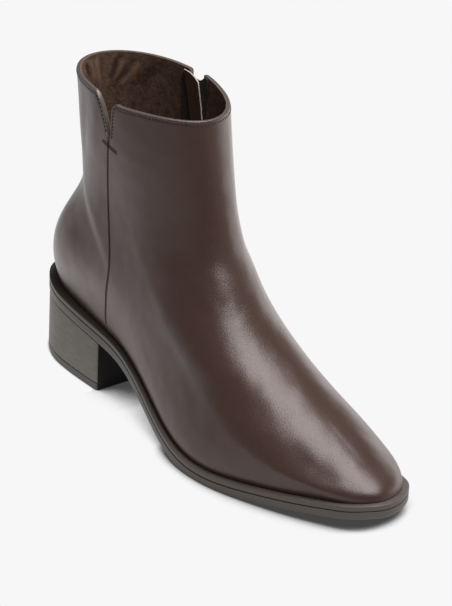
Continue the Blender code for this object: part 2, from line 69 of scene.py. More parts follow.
# Leather and lining, with the painted cut edge of the collar
LEATHER = 1.9
EDGE_ROUND = 0.7
EDGE_PAINT = 0.35
EDGE_PAINT_FADE = 0.2
UPPER_SHARP = 60.0
LINING_TO = 2.5
LINING_ROUND = 0.4
LINING_FRINGE = 0.15
FOLDS_FROM = 1.0
FOLDS_FULL = 5.0
STITCH_INSET = 1.6
STITCH_SINK = 0.2
STITCH_SINK_HALF = 0.45

# Sole, heel and insole
GAP = 0.3
LEDGE = 3.3
HEEL_LEDGE = 2.2
HEEL_LEDGE_FROM = 100.0
HEEL_LEDGE_TO = 32.0
SOLE_REAR = 8.4
SOLE_FRONT = 7.5
SOLE_ROUND = 0.8
WELT_HEIGHT = 2.9
BEAD_ROUND = 0.6
BREAST = 74.5
BREAST_ROUND = 1.2
HEEL_FLARE = 0.3
HEEL_EASE = 0.3
TOP_PIECE = 4.0
INSOLE_HEIGHT = 3.0
INSOLE_INSET = 3.2
INSOLE_TOE_INSET = 5.0
INSOLE_TOE_FROM = 235.0
INSOLE_ROUND = 1.0
CAP_INSET = 2.5
TREAD = 5.0
TREAD_FACING = -0.8
BREAST_FACING = 0.8

# Side seam with its V notch at the collar
SEAM_HALF = 1.0
SEAM_DEPTH = 0.75
SEAM_WIDTH = 0.5
NOTCH_DEPTH = 21.5
NOTCH_LENGTH = 13.0
NOTCH_POWER = 1.6
CORNER = 4.0
FLAP_SAG = 2.0

# Inside zip
ZIP_CORNER = 1.5
ZIP_PEAK = 3.2
ZIP_FLARE = 3.4
FLARE_HEIGHT = 22.0
WALL = 2.4
ZIP_FOOT = 58.0
SLIT_HALF = 4.5
TAPE_HALF = 10.0
TAPE_THICK = 0.8
TAPE_DROP = 3.0
TAPE_TIP = 4.6
TAPE_SLIT = 0.9
TAPE_FOOT = 6.0
TWILL = 1.6
TOOTH_PITCH = 3.0
TOOTH = (1.2, 2.4, 2.6)
TOOTH_ASIDE = 0.6
TOOTH_DEPTH = 2.1
CHAIN_DROP = 5.0
CHAIN_FOOT = 1.0
GUARD_HALF = 6.2
GUARD_AHEAD = 5.0
GUARD_LEAN = 7.0
GUARD_LEAN_HEIGHT = 26.0
GUARD_THICK = 0.8
GUARD_DROP = 1.0
GUARD_FALL = 2.8
CAST_ROUND = 0.3
CAST_MERGE = 0.01

# Stitches along the edges, where the runs start and end, and the bar tack's two ends by offset and drop
STITCH_PITCH = 2.0
STITCH = (1.55, 0.6, 0.5)
STITCH_GAP = 0.5
BACK_GAP = 0.3
V_BEFORE = 3.0
V_START = 1.0
V_END = 1.2
TACK_FROM = (-4.6, 26.6)
TACK_TO = (6.8, 27.6)
TACK_ASIDE = 0.65
TACK_PITCH = 0.9
TACK_STITCH = (1.4, 0.7, 0.6)

# How finely the surfaces are divided
FINE = 240
WALL_ROWS = 96
BACK_COLUMNS = 40
FRONT_COLUMNS = 112
OUTLINE_STEPS = 150
ROUND_STEPS = 5
CORNER_STEPS = 9
RUN_STEPS = 60
UNDER_SLIT_STEPS = 24
V_STEPS = 40
TACK_STEPS = 20
TEETH_STEPS = 80
TAPE_GRID = (60, 12)
GUARD_GRID = (70, 25)
FEATHER_ROWS = np.array([0.0, 0.004, 0.009, 0.016, 0.025, 0.036])
FIRST_WALL_ROW = 0.048
EDGE_STEPS = np.array([0.0, 0.1, 0.25, 0.45, 0.7, 1.0, 1.3, 1.6, 1.85, 2.2, 2.7, 3.3, 4.0, 5.5, 8.0])
COLLAR_DROPS = np.array([19.0, 16.5, 14.0, 11.5, 9.0, 7.0, 5.2, 4.0, 3.3, 2.7, 2.2, 1.85, 1.6, 1.3, 1.0])
RIM_DROPS = np.array([0.7, 0.45, 0.25, 0.1, 0.0])
NOTCH_STEPS = np.array(
    [13.0, 11.2, 9.5, 8.0, 6.7, 5.6, 4.6, 3.8, 3.1, 2.5, 2.0, 1.6, 1.3, 1.0, 0.7, 0.4, 0.2]
)
SEAM_STEPS = np.array([0.0, 0.2, 0.4, 0.7])
SLIT_STEPS = np.array([-4.0, -3.0, -2.0, -1.2, -0.7, -0.4, -0.2, 0.0, 0.2, 0.4, 0.7, 1.2, 2.0, 3.0, 4.0])


def table(columns, *rows):
    """The columns of a short table, by name."""
    return dict(zip(columns, np.array(rows, float).T))


# Back seam, from the feather edge to above the collar
BACK_LINE = table(
    ("height", "x"),
    (42.5, 6.0),
    (54.5, 4.0),
    (68.0, 8.0),
    (87.5, 16.5),
    (111.5, 29.5),
    (140.5, 31.0),
    (169.5, 29.2),
    (199.0, 24.0),
)

# Middle line of the toe, vamp, instep and shaft, from the feather edge to the collar
FRONT_LINE = table(
    ("x", "height"),
    (268.5, 15.5),
    (267.5, 18.5),
    (259.5, 25.0),
    (243.5, 35.5),
    (222.5, 47.5),
    (200.7, 59.7),
    (178.2, 73.0),
    (160.4, 90.2),
    (147.7, 109.3),
    (139.9, 130.4),
    (133.8, 152.3),
    (130.5, 169.0),
)

# Feather edge in side view: heel seat, arch, ball and toe spring
FEATHER_LINE = table(
    ("x", "height"),
    (13.0, 45.0),
    (42.0, 41.5),
    (71.0, 37.5),
    (100.0, 31.5),
    (134.0, 17.5),
    (163.0, 9.0),
    (187.5, 7.5),
    (221.5, 10.0),
    (250.5, 13.0),
    (268.5, 15.5),
)

# Half widths of the upper just above the feather edge
PLAN = table(
    ("x", "lateral", "medial"),
    (13.0, 21.5, 25.5),
    (51.5, 26.0, 26.5),
    (90.5, 28.0, 24.5),
    (124.5, 33.5, 23.5),
    (158.0, 40.5, 29.5),
    (187.5, 41.5, 34.0),
    (211.5, 36.5, 34.0),
    (236.0, 28.5, 30.0),
    (255.0, 20.0, 23.2),
    (276.5, 10.5, 14.0),
)

# Half widths of the heel cup, ankle and shaft
SHAFT = table(
    ("height", "lateral", "medial"),
    (42.5, 32.0, 32.0),
    (68.0, 31.5, 29.3),
    (92.0, 28.0, 27.2),
    (116.5, 26.5, 26.8),
    (145.5, 28.8, 30.5),
    (174.5, 31.0, 32.9),
    (199.0, 33.5, 33.0),
)

# Length over which each ring is rounded at its back and front, by its rise from feather edge to collar
ROUNDING = table(
    ("rise", "back", "front"),
    (0.0, 32.0, 13.5),
    (0.1, 31.5, 38.0),
    (0.25, 33.0, 55.0),
    (0.5, 39.5, 63.5),
    (0.75, 43.5, 60.5),
    (1.0, 47.0, 59.0),
)

# Lateral seam between back and front panel
SEAM_LINE = table(
    ("height", "x"),
    (34.0, 84.5),
    (40.0, 79.8),
    (46.0, 79.4),
    (53.0, 81.2),
    (64.0, 84.0),
    (78.0, 85.5),
    (92.0, 82.5),
    (106.0, 79.5),
    (118.0, 78.5),
    (136.0, 80.0),
    (150.0, 82.0),
    (174.0, 85.0),
)

# Middle of the zip on the medial side
ZIP_LINE = table(
    ("height", "x"),
    (50.0, 84.0),
    (80.0, 83.0),
    (116.0, 80.5),
    (146.0, 78.5),
    (174.0, 75.5),
)

# Soft creases of the leather in side view: a trough (negative) or ridge between two points
CREASES = table(
    ("side", "x_from", "height_from", "x_to", "height_to", "half_width", "lower_width", "lift"),
    (LATERAL, 61.0, 170.0, 53.0, 130.0, 4.5, 4.5, -0.6),
    (LATERAL, 71.0, 168.0, 66.0, 138.0, 4.0, 4.0, 0.3),
    (LATERAL, 10.0, 146.0, 78.0, 78.0, 4.2, 24.0, -1.2),
    (LATERAL, 128.0, 104.0, 150.0, 96.0, 6.0, 6.0, -0.35),
    (LATERAL, 134.0, 92.0, 158.0, 84.0, 6.0, 6.0, 0.3),
    (LATERAL, 222.0, 33.0, 248.0, 22.0, 5.0, 12.0, -1.0),
    (MEDIAL, 10.0, 146.0, 60.0, 96.0, 4.2, 24.0, -1.2),
    (MEDIAL, 128.0, 104.0, 150.0, 96.0, 6.0, 6.0, -0.35),
    (MEDIAL, 134.0, 92.0, 158.0, 84.0, 6.0, 6.0, 0.3),
)

# Folds of the lining: by length from the back seam and drop below the collar, a ridge or a groove (negative)
LINING_FOLDS = table(
    ("side", "length_from", "drop_from", "length_to", "drop_to", "half_width", "lift"),
    (MEDIAL, 11.0, 6.0, 4.9, 29.0, 1.6, -1.2),
    (MEDIAL, 14.0, 7.0, 5.5, 27.0, 1.8, 1.3),
    (MEDIAL, 18.0, 11.0, 7.3, 26.0, 1.8, -1.2),
    (MEDIAL, 23.0, 9.0, 12.0, 24.0, 2.4, 1.0),
    (MEDIAL, 36.0, 7.0, 20.0, 24.0, 3.2, -0.8),
    (LATERAL, 3.9, 3.3, 1.3, 24.8, 1.6, 1.2),
    (LATERAL, 9.7, 2.8, 5.7, 18.0, 1.7, 1.1),
    (LATERAL, 13.4, 4.2, 8.3, 14.0, 1.6, -1.1),
)


def natural_spline(knots, values):
    """Natural cubic spline through the knots, held level outside them."""
    count = len(knots)
    width = np.diff(knots)
    slope = np.diff(values) / width
    matrix = np.eye(count)
    bend = np.zeros(count)
    for i in range(1, count - 1):
        matrix[i, i - 1 : i + 2] = width[i - 1], 2 * (width[i - 1] + width[i]), width[i]
        bend[i] = 6 * (slope[i] - slope[i - 1])
    second = np.linalg.solve(matrix, bend)

    def value(at):
        at = np.clip(np.asarray(at, float), knots[0], knots[-1])
        i = np.clip(np.searchsorted(knots, at) - 1, 0, count - 2)
        step = at - knots[i]
        start = slope[i] - width[i] * (2 * second[i] + second[i + 1]) / 6
        cubic = (second[i + 1] - second[i]) / (6 * width[i])
        return values[i] + step * start + step**2 * second[i] / 2 + step**3 * cubic

    return value


def smooth(start, end, at):
    """Smooth step from 0 at start to 1 at end."""
    t = np.clip((np.asarray(at, float) - start) / (end - start), 0, 1)
    return t * t * (3 - 2 * t)


def unit(vectors):
    """The vectors at length 1."""
    return vectors / (np.linalg.norm(vectors, axis=-1, keepdims=True) + 1e-12)


def running_length(points):
    """Length along a row of points, from its first one."""
    steps = np.linalg.norm(np.diff(points, axis=0), axis=1)
    return np.concatenate([[0.0], np.cumsum(steps)])


FRONT_RUN = running_length(np.stack([FRONT_LINE["x"], FRONT_LINE["height"]], axis=1))
back_x = natural_spline(BACK_LINE["height"], BACK_LINE["x"])
front_x = natural_spline(FRONT_RUN, FRONT_LINE["x"])
front_z = natural_spline(FRONT_RUN, FRONT_LINE["height"])
feather_z = natural_spline(FEATHER_LINE["x"], FEATHER_LINE["height"])
back_rounding = natural_spline(ROUNDING["rise"], ROUNDING["back"])
front_rounding = natural_spline(ROUNDING["rise"], ROUNDING["front"])
plan_half = {
    LATERAL: natural_spline(PLAN["x"], PLAN["lateral"]),
    MEDIAL: natural_spline(PLAN["x"], PLAN["medial"]),
}
shaft_half = {
    LATERAL: natural_spline(SHAFT["height"], SHAFT["lateral"]),
    MEDIAL: natural_spline(SHAFT["height"], SHAFT["medial"]),
}
panel_line = {
    LATERAL: natural_spline(SEAM_LINE["height"], SEAM_LINE["x"]),
    MEDIAL: natural_spline(ZIP_LINE["height"], ZIP_LINE["x"]),
}
REAR_Z = float(feather_z(0.0))
REAR_X = float(back_x(REAR_Z))
TOE_X = float(front_x(0.0))
TOE_Z = float(feather_z(TOE_X))


def wall(rise, along, side):
    """Outer face of the upper: rise is 0 at the feather edge and 1 at the collar, along is 0 at the back."""
    rear_z = REAR_Z + (COLLAR_BACK - REAR_Z) * rise
    rear_x = back_x(rear_z)
    fore_x = front_x(FRONT_RUN[-1] * rise)
    fore_z = front_z(FRONT_RUN[-1] * rise)
    x = rear_x + (fore_x - rear_x) * along
    straight = REAR_Z + (TOE_Z - REAR_Z) * (x - REAR_X) / (TOE_X - REAR_X)
    sag = np.maximum(1 - rise, 0) ** SAG_POWER * (feather_z(x) - straight)
    z = rear_z + (fore_z - rear_z) * along + sag
    height = np.maximum(z - feather_z(x), 0)
    half = plan_half[side](x)
    half = half + (shaft_half[side](z) - half) * smooth(0, BLEND_HEIGHT, height)
    half = half - TUCK * np.exp(-height / TUCK_HEIGHT)
    to_back = np.clip(1 - (x - rear_x) / back_rounding(rise), 0, 1)
    to_front = np.clip(1 - (fore_x - x) / front_rounding(rise), 0, 1)
    cap = np.sqrt((1 - to_back**BACK_ROUND) * (1 - to_front**FRONT_ROUND))
    y = side * half * cap + TOE_SWING * smooth(TOE_SWING_FROM, TOE_SWING_TO, x)
    return np.stack([x, y, z], axis=-1)


@functools.cache
def half_ring(rise, side):
    """Fine points of one side of a ring: their places along it, the points and their running length."""
    along = (1 - np.cos(np.linspace(0, np.pi, FINE))) / 2
    points = wall(rise, along, side)
    return along, points, running_length(points)


@functools.cache
def crossing(rise, side):
    """Length from the back seam at which a half ring meets the side's seam or zip."""
    points, run = half_ring(rise, side)[1:]
    return float(np.interp(0.0, points[:, 0] - panel_line[side](points[:, 2]), run))


def at_length(rise, side, lengths):
    """Places along a half ring at the given lengths from the back seam."""
    along, _, run = half_ring(rise, side)
    return np.interp(lengths, run, along)


def on_line(rise, side, offset=0.0):
    """Point at an offset in front of the side's seam or zip."""
    return wall(rise, at_length(rise, side, crossing(rise, side) + offset), side)


RISE_STEP = 0.1
RISE_HEIGHT = float(on_line(1.0, MEDIAL)[2] - on_line(1.0 - RISE_STEP, MEDIAL)[2]) / RISE_STEP
NOTCH_RISE = 1.0 - NOTCH_DEPTH / RISE_HEIGHT


def rise_of(height, side):
    """Rise of the ring that meets the side's seam or zip at this height."""
    rises = np.linspace(0, 1, FINE)
    heights = [on_line(rise, side)[2] for rise in rises]
    return float(np.interp(height, heights, rises))


ZIP_FOOT_RISE = rise_of(ZIP_FOOT, MEDIAL)


def rounded_edge(distance, radius):
    """How far a rounded corner or edge falls away, by distance from where it starts."""
    inside = np.clip(radius - distance, 0, radius)
    return radius - np.sqrt(radius**2 - inside**2)


def notch_drop(distance):
    """Drop of the back panel's top line into the V notch, by distance behind the seam."""
    return NOTCH_DEPTH * np.maximum(1 - distance / NOTCH_LENGTH, 0) ** NOTCH_POWER


# Columns set out from the seam and from the zip, with the drop of the collar at each
flap_drops = rounded_edge(EDGE_STEPS, CORNER)
zip_drops = rounded_edge(EDGE_STEPS, ZIP_CORNER)
seam_drops = np.full(len(SEAM_STEPS), NOTCH_DEPTH)
slit_drops = np.full(len(SLIT_STEPS), ZIP_CORNER)
front_shares = np.linspace(0, 1, FRONT_COLUMNS + 1)[1:]
front_peak = {LATERAL: -FLAP_SAG, MEDIAL: ZIP_PEAK}
front_edge = {LATERAL: SEAM_HALF, MEDIAL: SLIT_HALF}


def peak_left(share, side):
    """Extra height of the collar at a share of the way from the front panel's corner to the front."""
    return front_peak[side] * (1 - share) ** 3


marks = {
    LATERAL: np.concatenate([-NOTCH_STEPS, SEAM_STEPS, SEAM_HALF + EDGE_STEPS]),
    MEDIAL: np.concatenate([-SLIT_HALF - EDGE_STEPS[::-1], SLIT_STEPS, SLIT_HALF + EDGE_STEPS]),
}
mark_drops = {
    LATERAL: np.concatenate([notch_drop(NOTCH_STEPS), seam_drops, flap_drops + FLAP_SAG]),
    MEDIAL: np.concatenate([zip_drops[::-1], slit_drops, zip_drops - ZIP_PEAK]),
}


def zip_flare(rise):
    """How far the zip's front half stands open near the collar."""
    return ZIP_FLARE * smooth(1 - FLARE_HEIGHT / RISE_HEIGHT, 1, rise)


@functools.cache
def column_places(rise, side):
    """Places along a half ring of one side's columns, spread evenly behind and in front of the marks."""
    end = half_ring(rise, side)[2][-1]
    middle = crossing(rise, side) + marks[side]
    if side == MEDIAL:
        middle = middle + zip_flare(rise) * np.clip(0.5 + marks[side] / SLIT_HALF / 2, 0, 1)
    back = middle[0] * np.linspace(0, 1, BACK_COLUMNS, endpoint=False)
    front = np.linspace(middle[-1], end, FRONT_COLUMNS + 1)[1:]
    return at_length(rise, side, np.concatenate([back, middle, front]))


def side_grid(side, rows):
    """Rises and places of one side of the upper, a row for each ring and columns from back to front."""
    drops = np.concatenate([np.zeros(BACK_COLUMNS), mark_drops[side], -peak_left(front_shares, side)])
    rises = rows[:, None] - np.maximum(rows - NOTCH_RISE, 0)[:, None] * drops / NOTCH_DEPTH
    places = [[column_places(rise, side)[j] for j, rise in enumerate(row)] for row in rises.tolist()]
    return wall(rises, np.array(places), side)


def grid_quads(rows, columns, closed=False):
    """Quads of a grid as an array of corner numbers, joined round where it is closed."""
    i = np.arange(rows - 1)[:, None]
    j = np.arange(columns if closed else columns - 1)[None, :]
    k = (j + 1) % columns
    quad = [i * columns + j, i * columns + k, (i + 1) * columns + k, (i + 1) * columns + j]
    return np.stack(quad, axis=-1).reshape(-1, 4)


def vertex_normals(points, quads):
    """Outward normals at the points, from the quads around each."""
    a, b, c, d = (points[quads[:, k]] for k in range(4))
    across = np.cross(c - a, d - b)
    normals = np.zeros_like(points)
    for k in range(4):
        np.add.at(normals, quads[:, k], across)
    return unit(normals)


def walled(outer, inner, quads):
    """Closed solid between two sheets of the same quads, with a rim along every open edge."""
    count = len(outer)
    faces = [tuple(quad) for quad in np.concatenate([quads, count + quads[:, ::-1]]).tolist()]
    sides = np.concatenate([quads[:, [k, (k + 1) % 4]] for k in range(4)]).tolist()
    edges = {(a, b) for a, b in sides}
    rim = [(b, a, count + a, count + b) for a, b in sorted(edges) if (b, a) not in edges]
    return np.concatenate([outer, inner]), faces + rim


def outline(grow):
    """Closed loop in plan at grow(x) outside the feather edge: rear, lateral side, toe, medial side."""
    along = (1 - np.cos(np.linspace(0, np.pi, OUTLINE_STEPS + 1))) / 2
    lateral = wall(0.0, along, LATERAL)[:, :2]
    medial = wall(0.0, along, MEDIAL)[-2:0:-1, :2]
    loop = np.concatenate([lateral, medial])
    ahead = np.roll(loop, -1, axis=0) - np.roll(loop, 1, axis=0)
    outward = unit(np.stack([ahead[:, 1], -ahead[:, 0]], axis=1))
    return loop + outward * grow(loop[:, 0])[:, None]


def ledge(x):
    """Width of the sole's edge outside the feather edge."""
    return LEDGE + HEEL_LEDGE * smooth(HEEL_LEDGE_FROM, HEEL_LEDGE_TO, x)


def welt_top(x):
    """Height of the welt's top, just under the feather edge."""
    return feather_z(x) - GAP


def sole_bottom(x):
    """Height of the outsole's underside, flat on the floor at the ball."""
    share = np.clip((x - REAR_X) / (TOE_X - REAR_X), 0, 1)
    return np.maximum(welt_top(x) - SOLE_REAR - (SOLE_FRONT - SOLE_REAR) * share, 0)


# The tables' place in the solids' frame, from the sole's front and medial extremes
sole_high = np.array(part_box("outsole")[1]) / MM
MIDDLE = np.array([*(outline(ledge).max(axis=0) - sole_high[:2]), 0.0])


def lifted(loop, height):
    """A loop in plan raised to the given height over x."""
    return np.column_stack([loop, height(loop[:, 0])])


def stacked(rings):
    """Closed solid through rings of equal count, from bottom to top, closed across from side to side."""
    count = len(rings[0])
    faces = [tuple(quad) for quad in grid_quads(len(rings), count, closed=True).tolist()]
    top = (len(rings) - 1) * count
    for i in range((count - 1) // 2 + 1):
        strip = list(dict.fromkeys([i, i + 1, (count - i - 1) % count, (count - i) % count]))
        if len(strip) > 2:
            faces.append(tuple(reversed(strip)))
            faces.append(tuple(top + k for k in strip))
    return np.concatenate(rings), faces


def rounded_profile(radius_below, radius_above):
    """Insets and lifts of a side with rounded edges, and whether a lift counts down from the top."""
    turn = np.linspace(0, np.pi / 2, ROUND_STEPS)
    below = [(radius_below * (1 - math.sin(t)), radius_below * (1 - math.cos(t)), False) for t in turn]
    above = [(radius_above * (1 - math.cos(t)), radius_above * (1 - math.sin(t)), True) for t in turn]
    flat_below = (radius_below + CAP_INSET, 0.0, False)
    flat_above = (radius_above + CAP_INSET, 0.0, True)
    return [flat_below, *below, *above, flat_above]


def sole_layer(bottom, top, radius_below, radius_above):
    """Layer of the sole between two heights over x, with rounded edges."""
    rings = []
    for inset, lift, from_top in rounded_profile(radius_below, radius_above):
        loop = outline(lambda x: ledge(x) - inset)
        rings.append(lifted(loop, lambda x: top(x) - lift if from_top else bottom(x) + lift))
    return stacked(rings)


def outsole():
    """Outsole with rounded edges, arch and toe spring."""
    return sole_layer(sole_bottom, lambda x: welt_top(x) - WELT_HEIGHT - GAP, SOLE_ROUND, BEAD_ROUND / 2)


def welt():
    """Welt with a rounded bead for an edge."""
    return sole_layer(lambda x: welt_top(x) - WELT_HEIGHT, welt_top, BEAD_ROUND, BEAD_ROUND)


def heel_loop(grow):
    """Loop round the heel: the rear of the sole's edge, with rounded corners at a straight breast."""
    loop = outline(lambda x: ledge(x) + grow)
    base = outline(lambda x: 0 * x)[: OUTLINE_STEPS + 1, 0]
    rear = int(np.sum(base < BREAST - 2 * LEDGE))
    lateral = loop[: OUTLINE_STEPS + 1]
    medial = np.roll(loop[::-1], 1, axis=0)[: OUTLINE_STEPS + 1]
    front = BREAST + min(grow, 0.0)
    halves = []
    for half in (lateral, medial):
        corner = np.array([front, np.interp(front, half[:, 0], half[:, 1])])
        before = front - BREAST_ROUND
        start = np.array([before, np.interp(before, half[:, 0], half[:, 1])])
        end = corner - [0.0, math.copysign(BREAST_ROUND, corner[1])]
        t = np.linspace(0, 1, ROUND_STEPS + 1)[:, None]
        arc = (1 - t) ** 2 * start + 2 * t * (1 - t) * corner + t**2 * end
        halves.append(np.vstack([half[:rear], arc]))
    return np.vstack([halves[0], halves[1][1:][::-1]])


def heel_layer(bottom, top, grow_below, grow_above, radius):
    """Layer of the heel between two heights over x, with rounded edges and sloping sides."""
    rings = []
    for inset, lift, from_top in rounded_profile(radius, radius):
        loop = heel_loop((grow_above if from_top else grow_below) - inset)
        rings.append(lifted(loop, lambda x: top(x) - lift if from_top else bottom(x) + lift))
    return stacked(rings)


def level(height):
    """The same height at every x."""
    return lambda x: np.full_like(x, height)


def heel_block():
    """Block heel under the outsole, slightly wider at its foot."""
    bottom = level(TOP_PIECE + GAP)
    return heel_layer(bottom, lambda x: sole_bottom(x) - GAP, HEEL_FLARE, -HEEL_EASE, HEEL_EASE)


def heel_top_piece():
    """Flat wear layer under the heel block."""
    return heel_layer(level(0.0), level(TOP_PIECE), HEEL_FLARE, HEEL_FLARE, HEEL_EASE)


def insole():
    """Insole with a rounded upper edge, on the welt inside the upper."""

    def inset(x):
        return -INSOLE_INSET - INSOLE_TOE_INSET * smooth(INSOLE_TOE_FROM, TOE_X, x)

    rings = [lifted(outline(inset), feather_z)]
    for turn in np.linspace(0, np.pi / 2, ROUND_STEPS):
        inner = INSOLE_ROUND * (1 - math.cos(turn))
        height = INSOLE_HEIGHT - INSOLE_ROUND * (1 - math.sin(turn))
        rings.append(lifted(outline(lambda x: inset(x) - inner), lambda x: feather_z(x) + height))
    return stacked(rings)


def wall_frame(rise, along, side):
    """Points of the wall and their outward normals, for arrays of rises and places along the ring."""
    step = 1e-4
    ahead = wall(rise, np.minimum(along + step, 1), side) - wall(rise, np.maximum(along - step, 0), side)
    above = wall(rise + step, along, side) - wall(np.maximum(rise - step, 0), along, side)
    return wall(rise, along, side), unit(-side * np.cross(ahead, above))


def beside_line(rises, offsets, side):
    """Points and normals at rises and offsets in front of a side's seam or zip."""
    along = [at_length(r, side, crossing(r, side) + o) for r, o in zip(rises.tolist(), offsets)]
    return wall_frame(rises, np.array(along), side)


def near_line(side, offsets, drops):
    """Points and normals at offsets in front of a side's seam or zip and drops below the collar."""
    offsets, drops = np.asarray(offsets, float), np.asarray(drops, float)
    ahead = offsets > 0
    drops = drops - np.where(ahead, front_peak[side] * np.clip(1 - drops / NOTCH_DEPTH, 0, 1), 0)
    if side == MEDIAL:
        offsets = offsets + np.where(ahead, zip_flare(1 - drops / RISE_HEIGHT), 0)
    return beside_line(1 - drops / RISE_HEIGHT, offsets, side)


def round_collar(drop, side, start, end):
    """Points and normals along a line under the collar, between two lengths from the back seam."""
    lengths = np.linspace(start, end, FINE)
    rises = np.full(FINE, 1 - drop / RISE_HEIGHT)
    corner = crossing(1.0, side) + front_edge[side]
    share = np.clip((lengths - corner) / (half_ring(1.0, side)[2][-1] - corner), 0, 1)
    rises += np.where(lengths > corner, peak_left(share, side) / RISE_HEIGHT, 0)
    along = np.array([at_length(r, side, length) for r, length in zip(rises.tolist(), lengths)])
    return wall_frame(rises, along, side)


def zip_sheet(rises, offsets, depth, thickness):
    """Solid sheet along the zip at a depth under the outer face, for grids of rises and offsets."""
    shape = np.broadcast(rises, offsets).shape
    pairs = zip(np.broadcast_to(rises, shape).flat, np.broadcast_to(offsets, shape).flat)
    points = np.array([on_line(float(rise), MEDIAL, offset) for rise, offset in pairs])
    quads = grid_quads(*shape)
    normals = vertex_normals(points, quads)
    return walled(points - depth * normals, points - (depth + thickness) * normals, quads)


def add_object(name, data):
    """Object of this name and data in the scene, at the origin."""
    made = bpy.data.objects.new(name, data)
    bpy.context.scene.collection.objects.link(made)
    return made


def made_plain(piece):
    """The piece's own mesh as its modifier makes it, with the modifier gone."""
    evaluated = piece.evaluated_get(bpy.context.evaluated_depsgraph_get())
    mesh = bpy.data.meshes.new_from_object(evaluated)
    piece.modifiers.clear()
    piece.data = mesh
    return mesh


def store(mesh, name, values):
    """Keeps a number or a direction for each point of a mesh, under a name."""
    kind, field = ("FLOAT", "value") if values.ndim == 1 else ("FLOAT_VECTOR", "vector")
    attribute = mesh.attributes.new(name, kind, "POINT")
    attribute.data.foreach_set(field, values.ravel().astype(np.float32))


def add_piece(name, solid, finishes, sharp_angle=50.0):
    """Object from points in millimetres and faces, with unused points dropped and faces turned outwards."""
    points, faces = solid
    used = sorted({corner for face in faces for corner in face})
    number = {old: new for new, old in enumerate(used)}
    mesh = bpy.data.meshes.new(name)
    placed = (points[used] - MIDDLE) * MM
    mesh.from_pydata(placed.tolist(), [], [[number[corner] for corner in face] for face in faces])
    shape = bmesh.new()
    shape.from_mesh(mesh)
    bmesh.ops.recalc_face_normals(shape, faces=shape.faces)
    shape.to_mesh(mesh)
    shape.free()
    for finish in finishes:
        mesh.materials.append(finish)
    mesh.shade_smooth()
    mesh.set_sharp_from_angle(angle=math.radians(sharp_angle))
    return add_object(name, mesh), used


def hand_in(piece, body, slot, *nodes):
    """Fixes a finished piece to its body and hides the solids that it stands for. Its slot is not used."""
    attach(piece, body)
    if nodes:
        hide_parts(*nodes)


def linear(hex_colour):
    """Linear colour of an sRGB hex value."""
    parts = [int(hex_colour[i : i + 2], 16) / 255 for i in (1, 3, 5)]
    return (*[p / 12.92 if p <= 0.04045 else ((p + 0.055) / 1.055) ** 2.4 for p in parts], 1.0)


def link_inputs(tree, node, inputs):
    """Sets a node's inputs to values, or links them to sockets."""
    for key, value in inputs.items():
        if isinstance(value, bpy.types.NodeSocket):
            tree.links.new(value, node.inputs[key])
        else:
            node.inputs[key].default_value = value


def add_node(tree, kind, inputs=None, **settings):
    """Adds a node with its settings and its inputs."""
    made = tree.nodes.new(kind)
    for name, value in settings.items():
        setattr(made, name, value)
    link_inputs(tree, made, inputs or {})
    return made


def new_material(name, **constants):
    """Material with its shader's constants set, and its node tree, shader and object coordinates."""
    made = bpy.data.materials.new(name)
    made.use_nodes = True
    tree = made.node_tree
    shader = tree.nodes["Principled BSDF"]
    link_inputs(tree, shader, {key.replace("_", " "): value for key, value in constants.items()})
    place = add_node(tree, "ShaderNodeTexCoord").outputs["Object"]
    return made, tree, shader, place


def per_mm(size):
    """Texture scale for a pattern of this size in millimetres, on coordinates in metres."""
    return 1 / (size * MM)


# Mix node sockets for colours
MIX_A, MIX_B, MIX_OUT = 6, 7, 2

# Scale at which the wave texture's bands repeat after one unit, along x and along the diagonal
BANDS = math.tau / 20
DIAGONAL_BANDS = math.tau / (10 * math.sqrt(3))


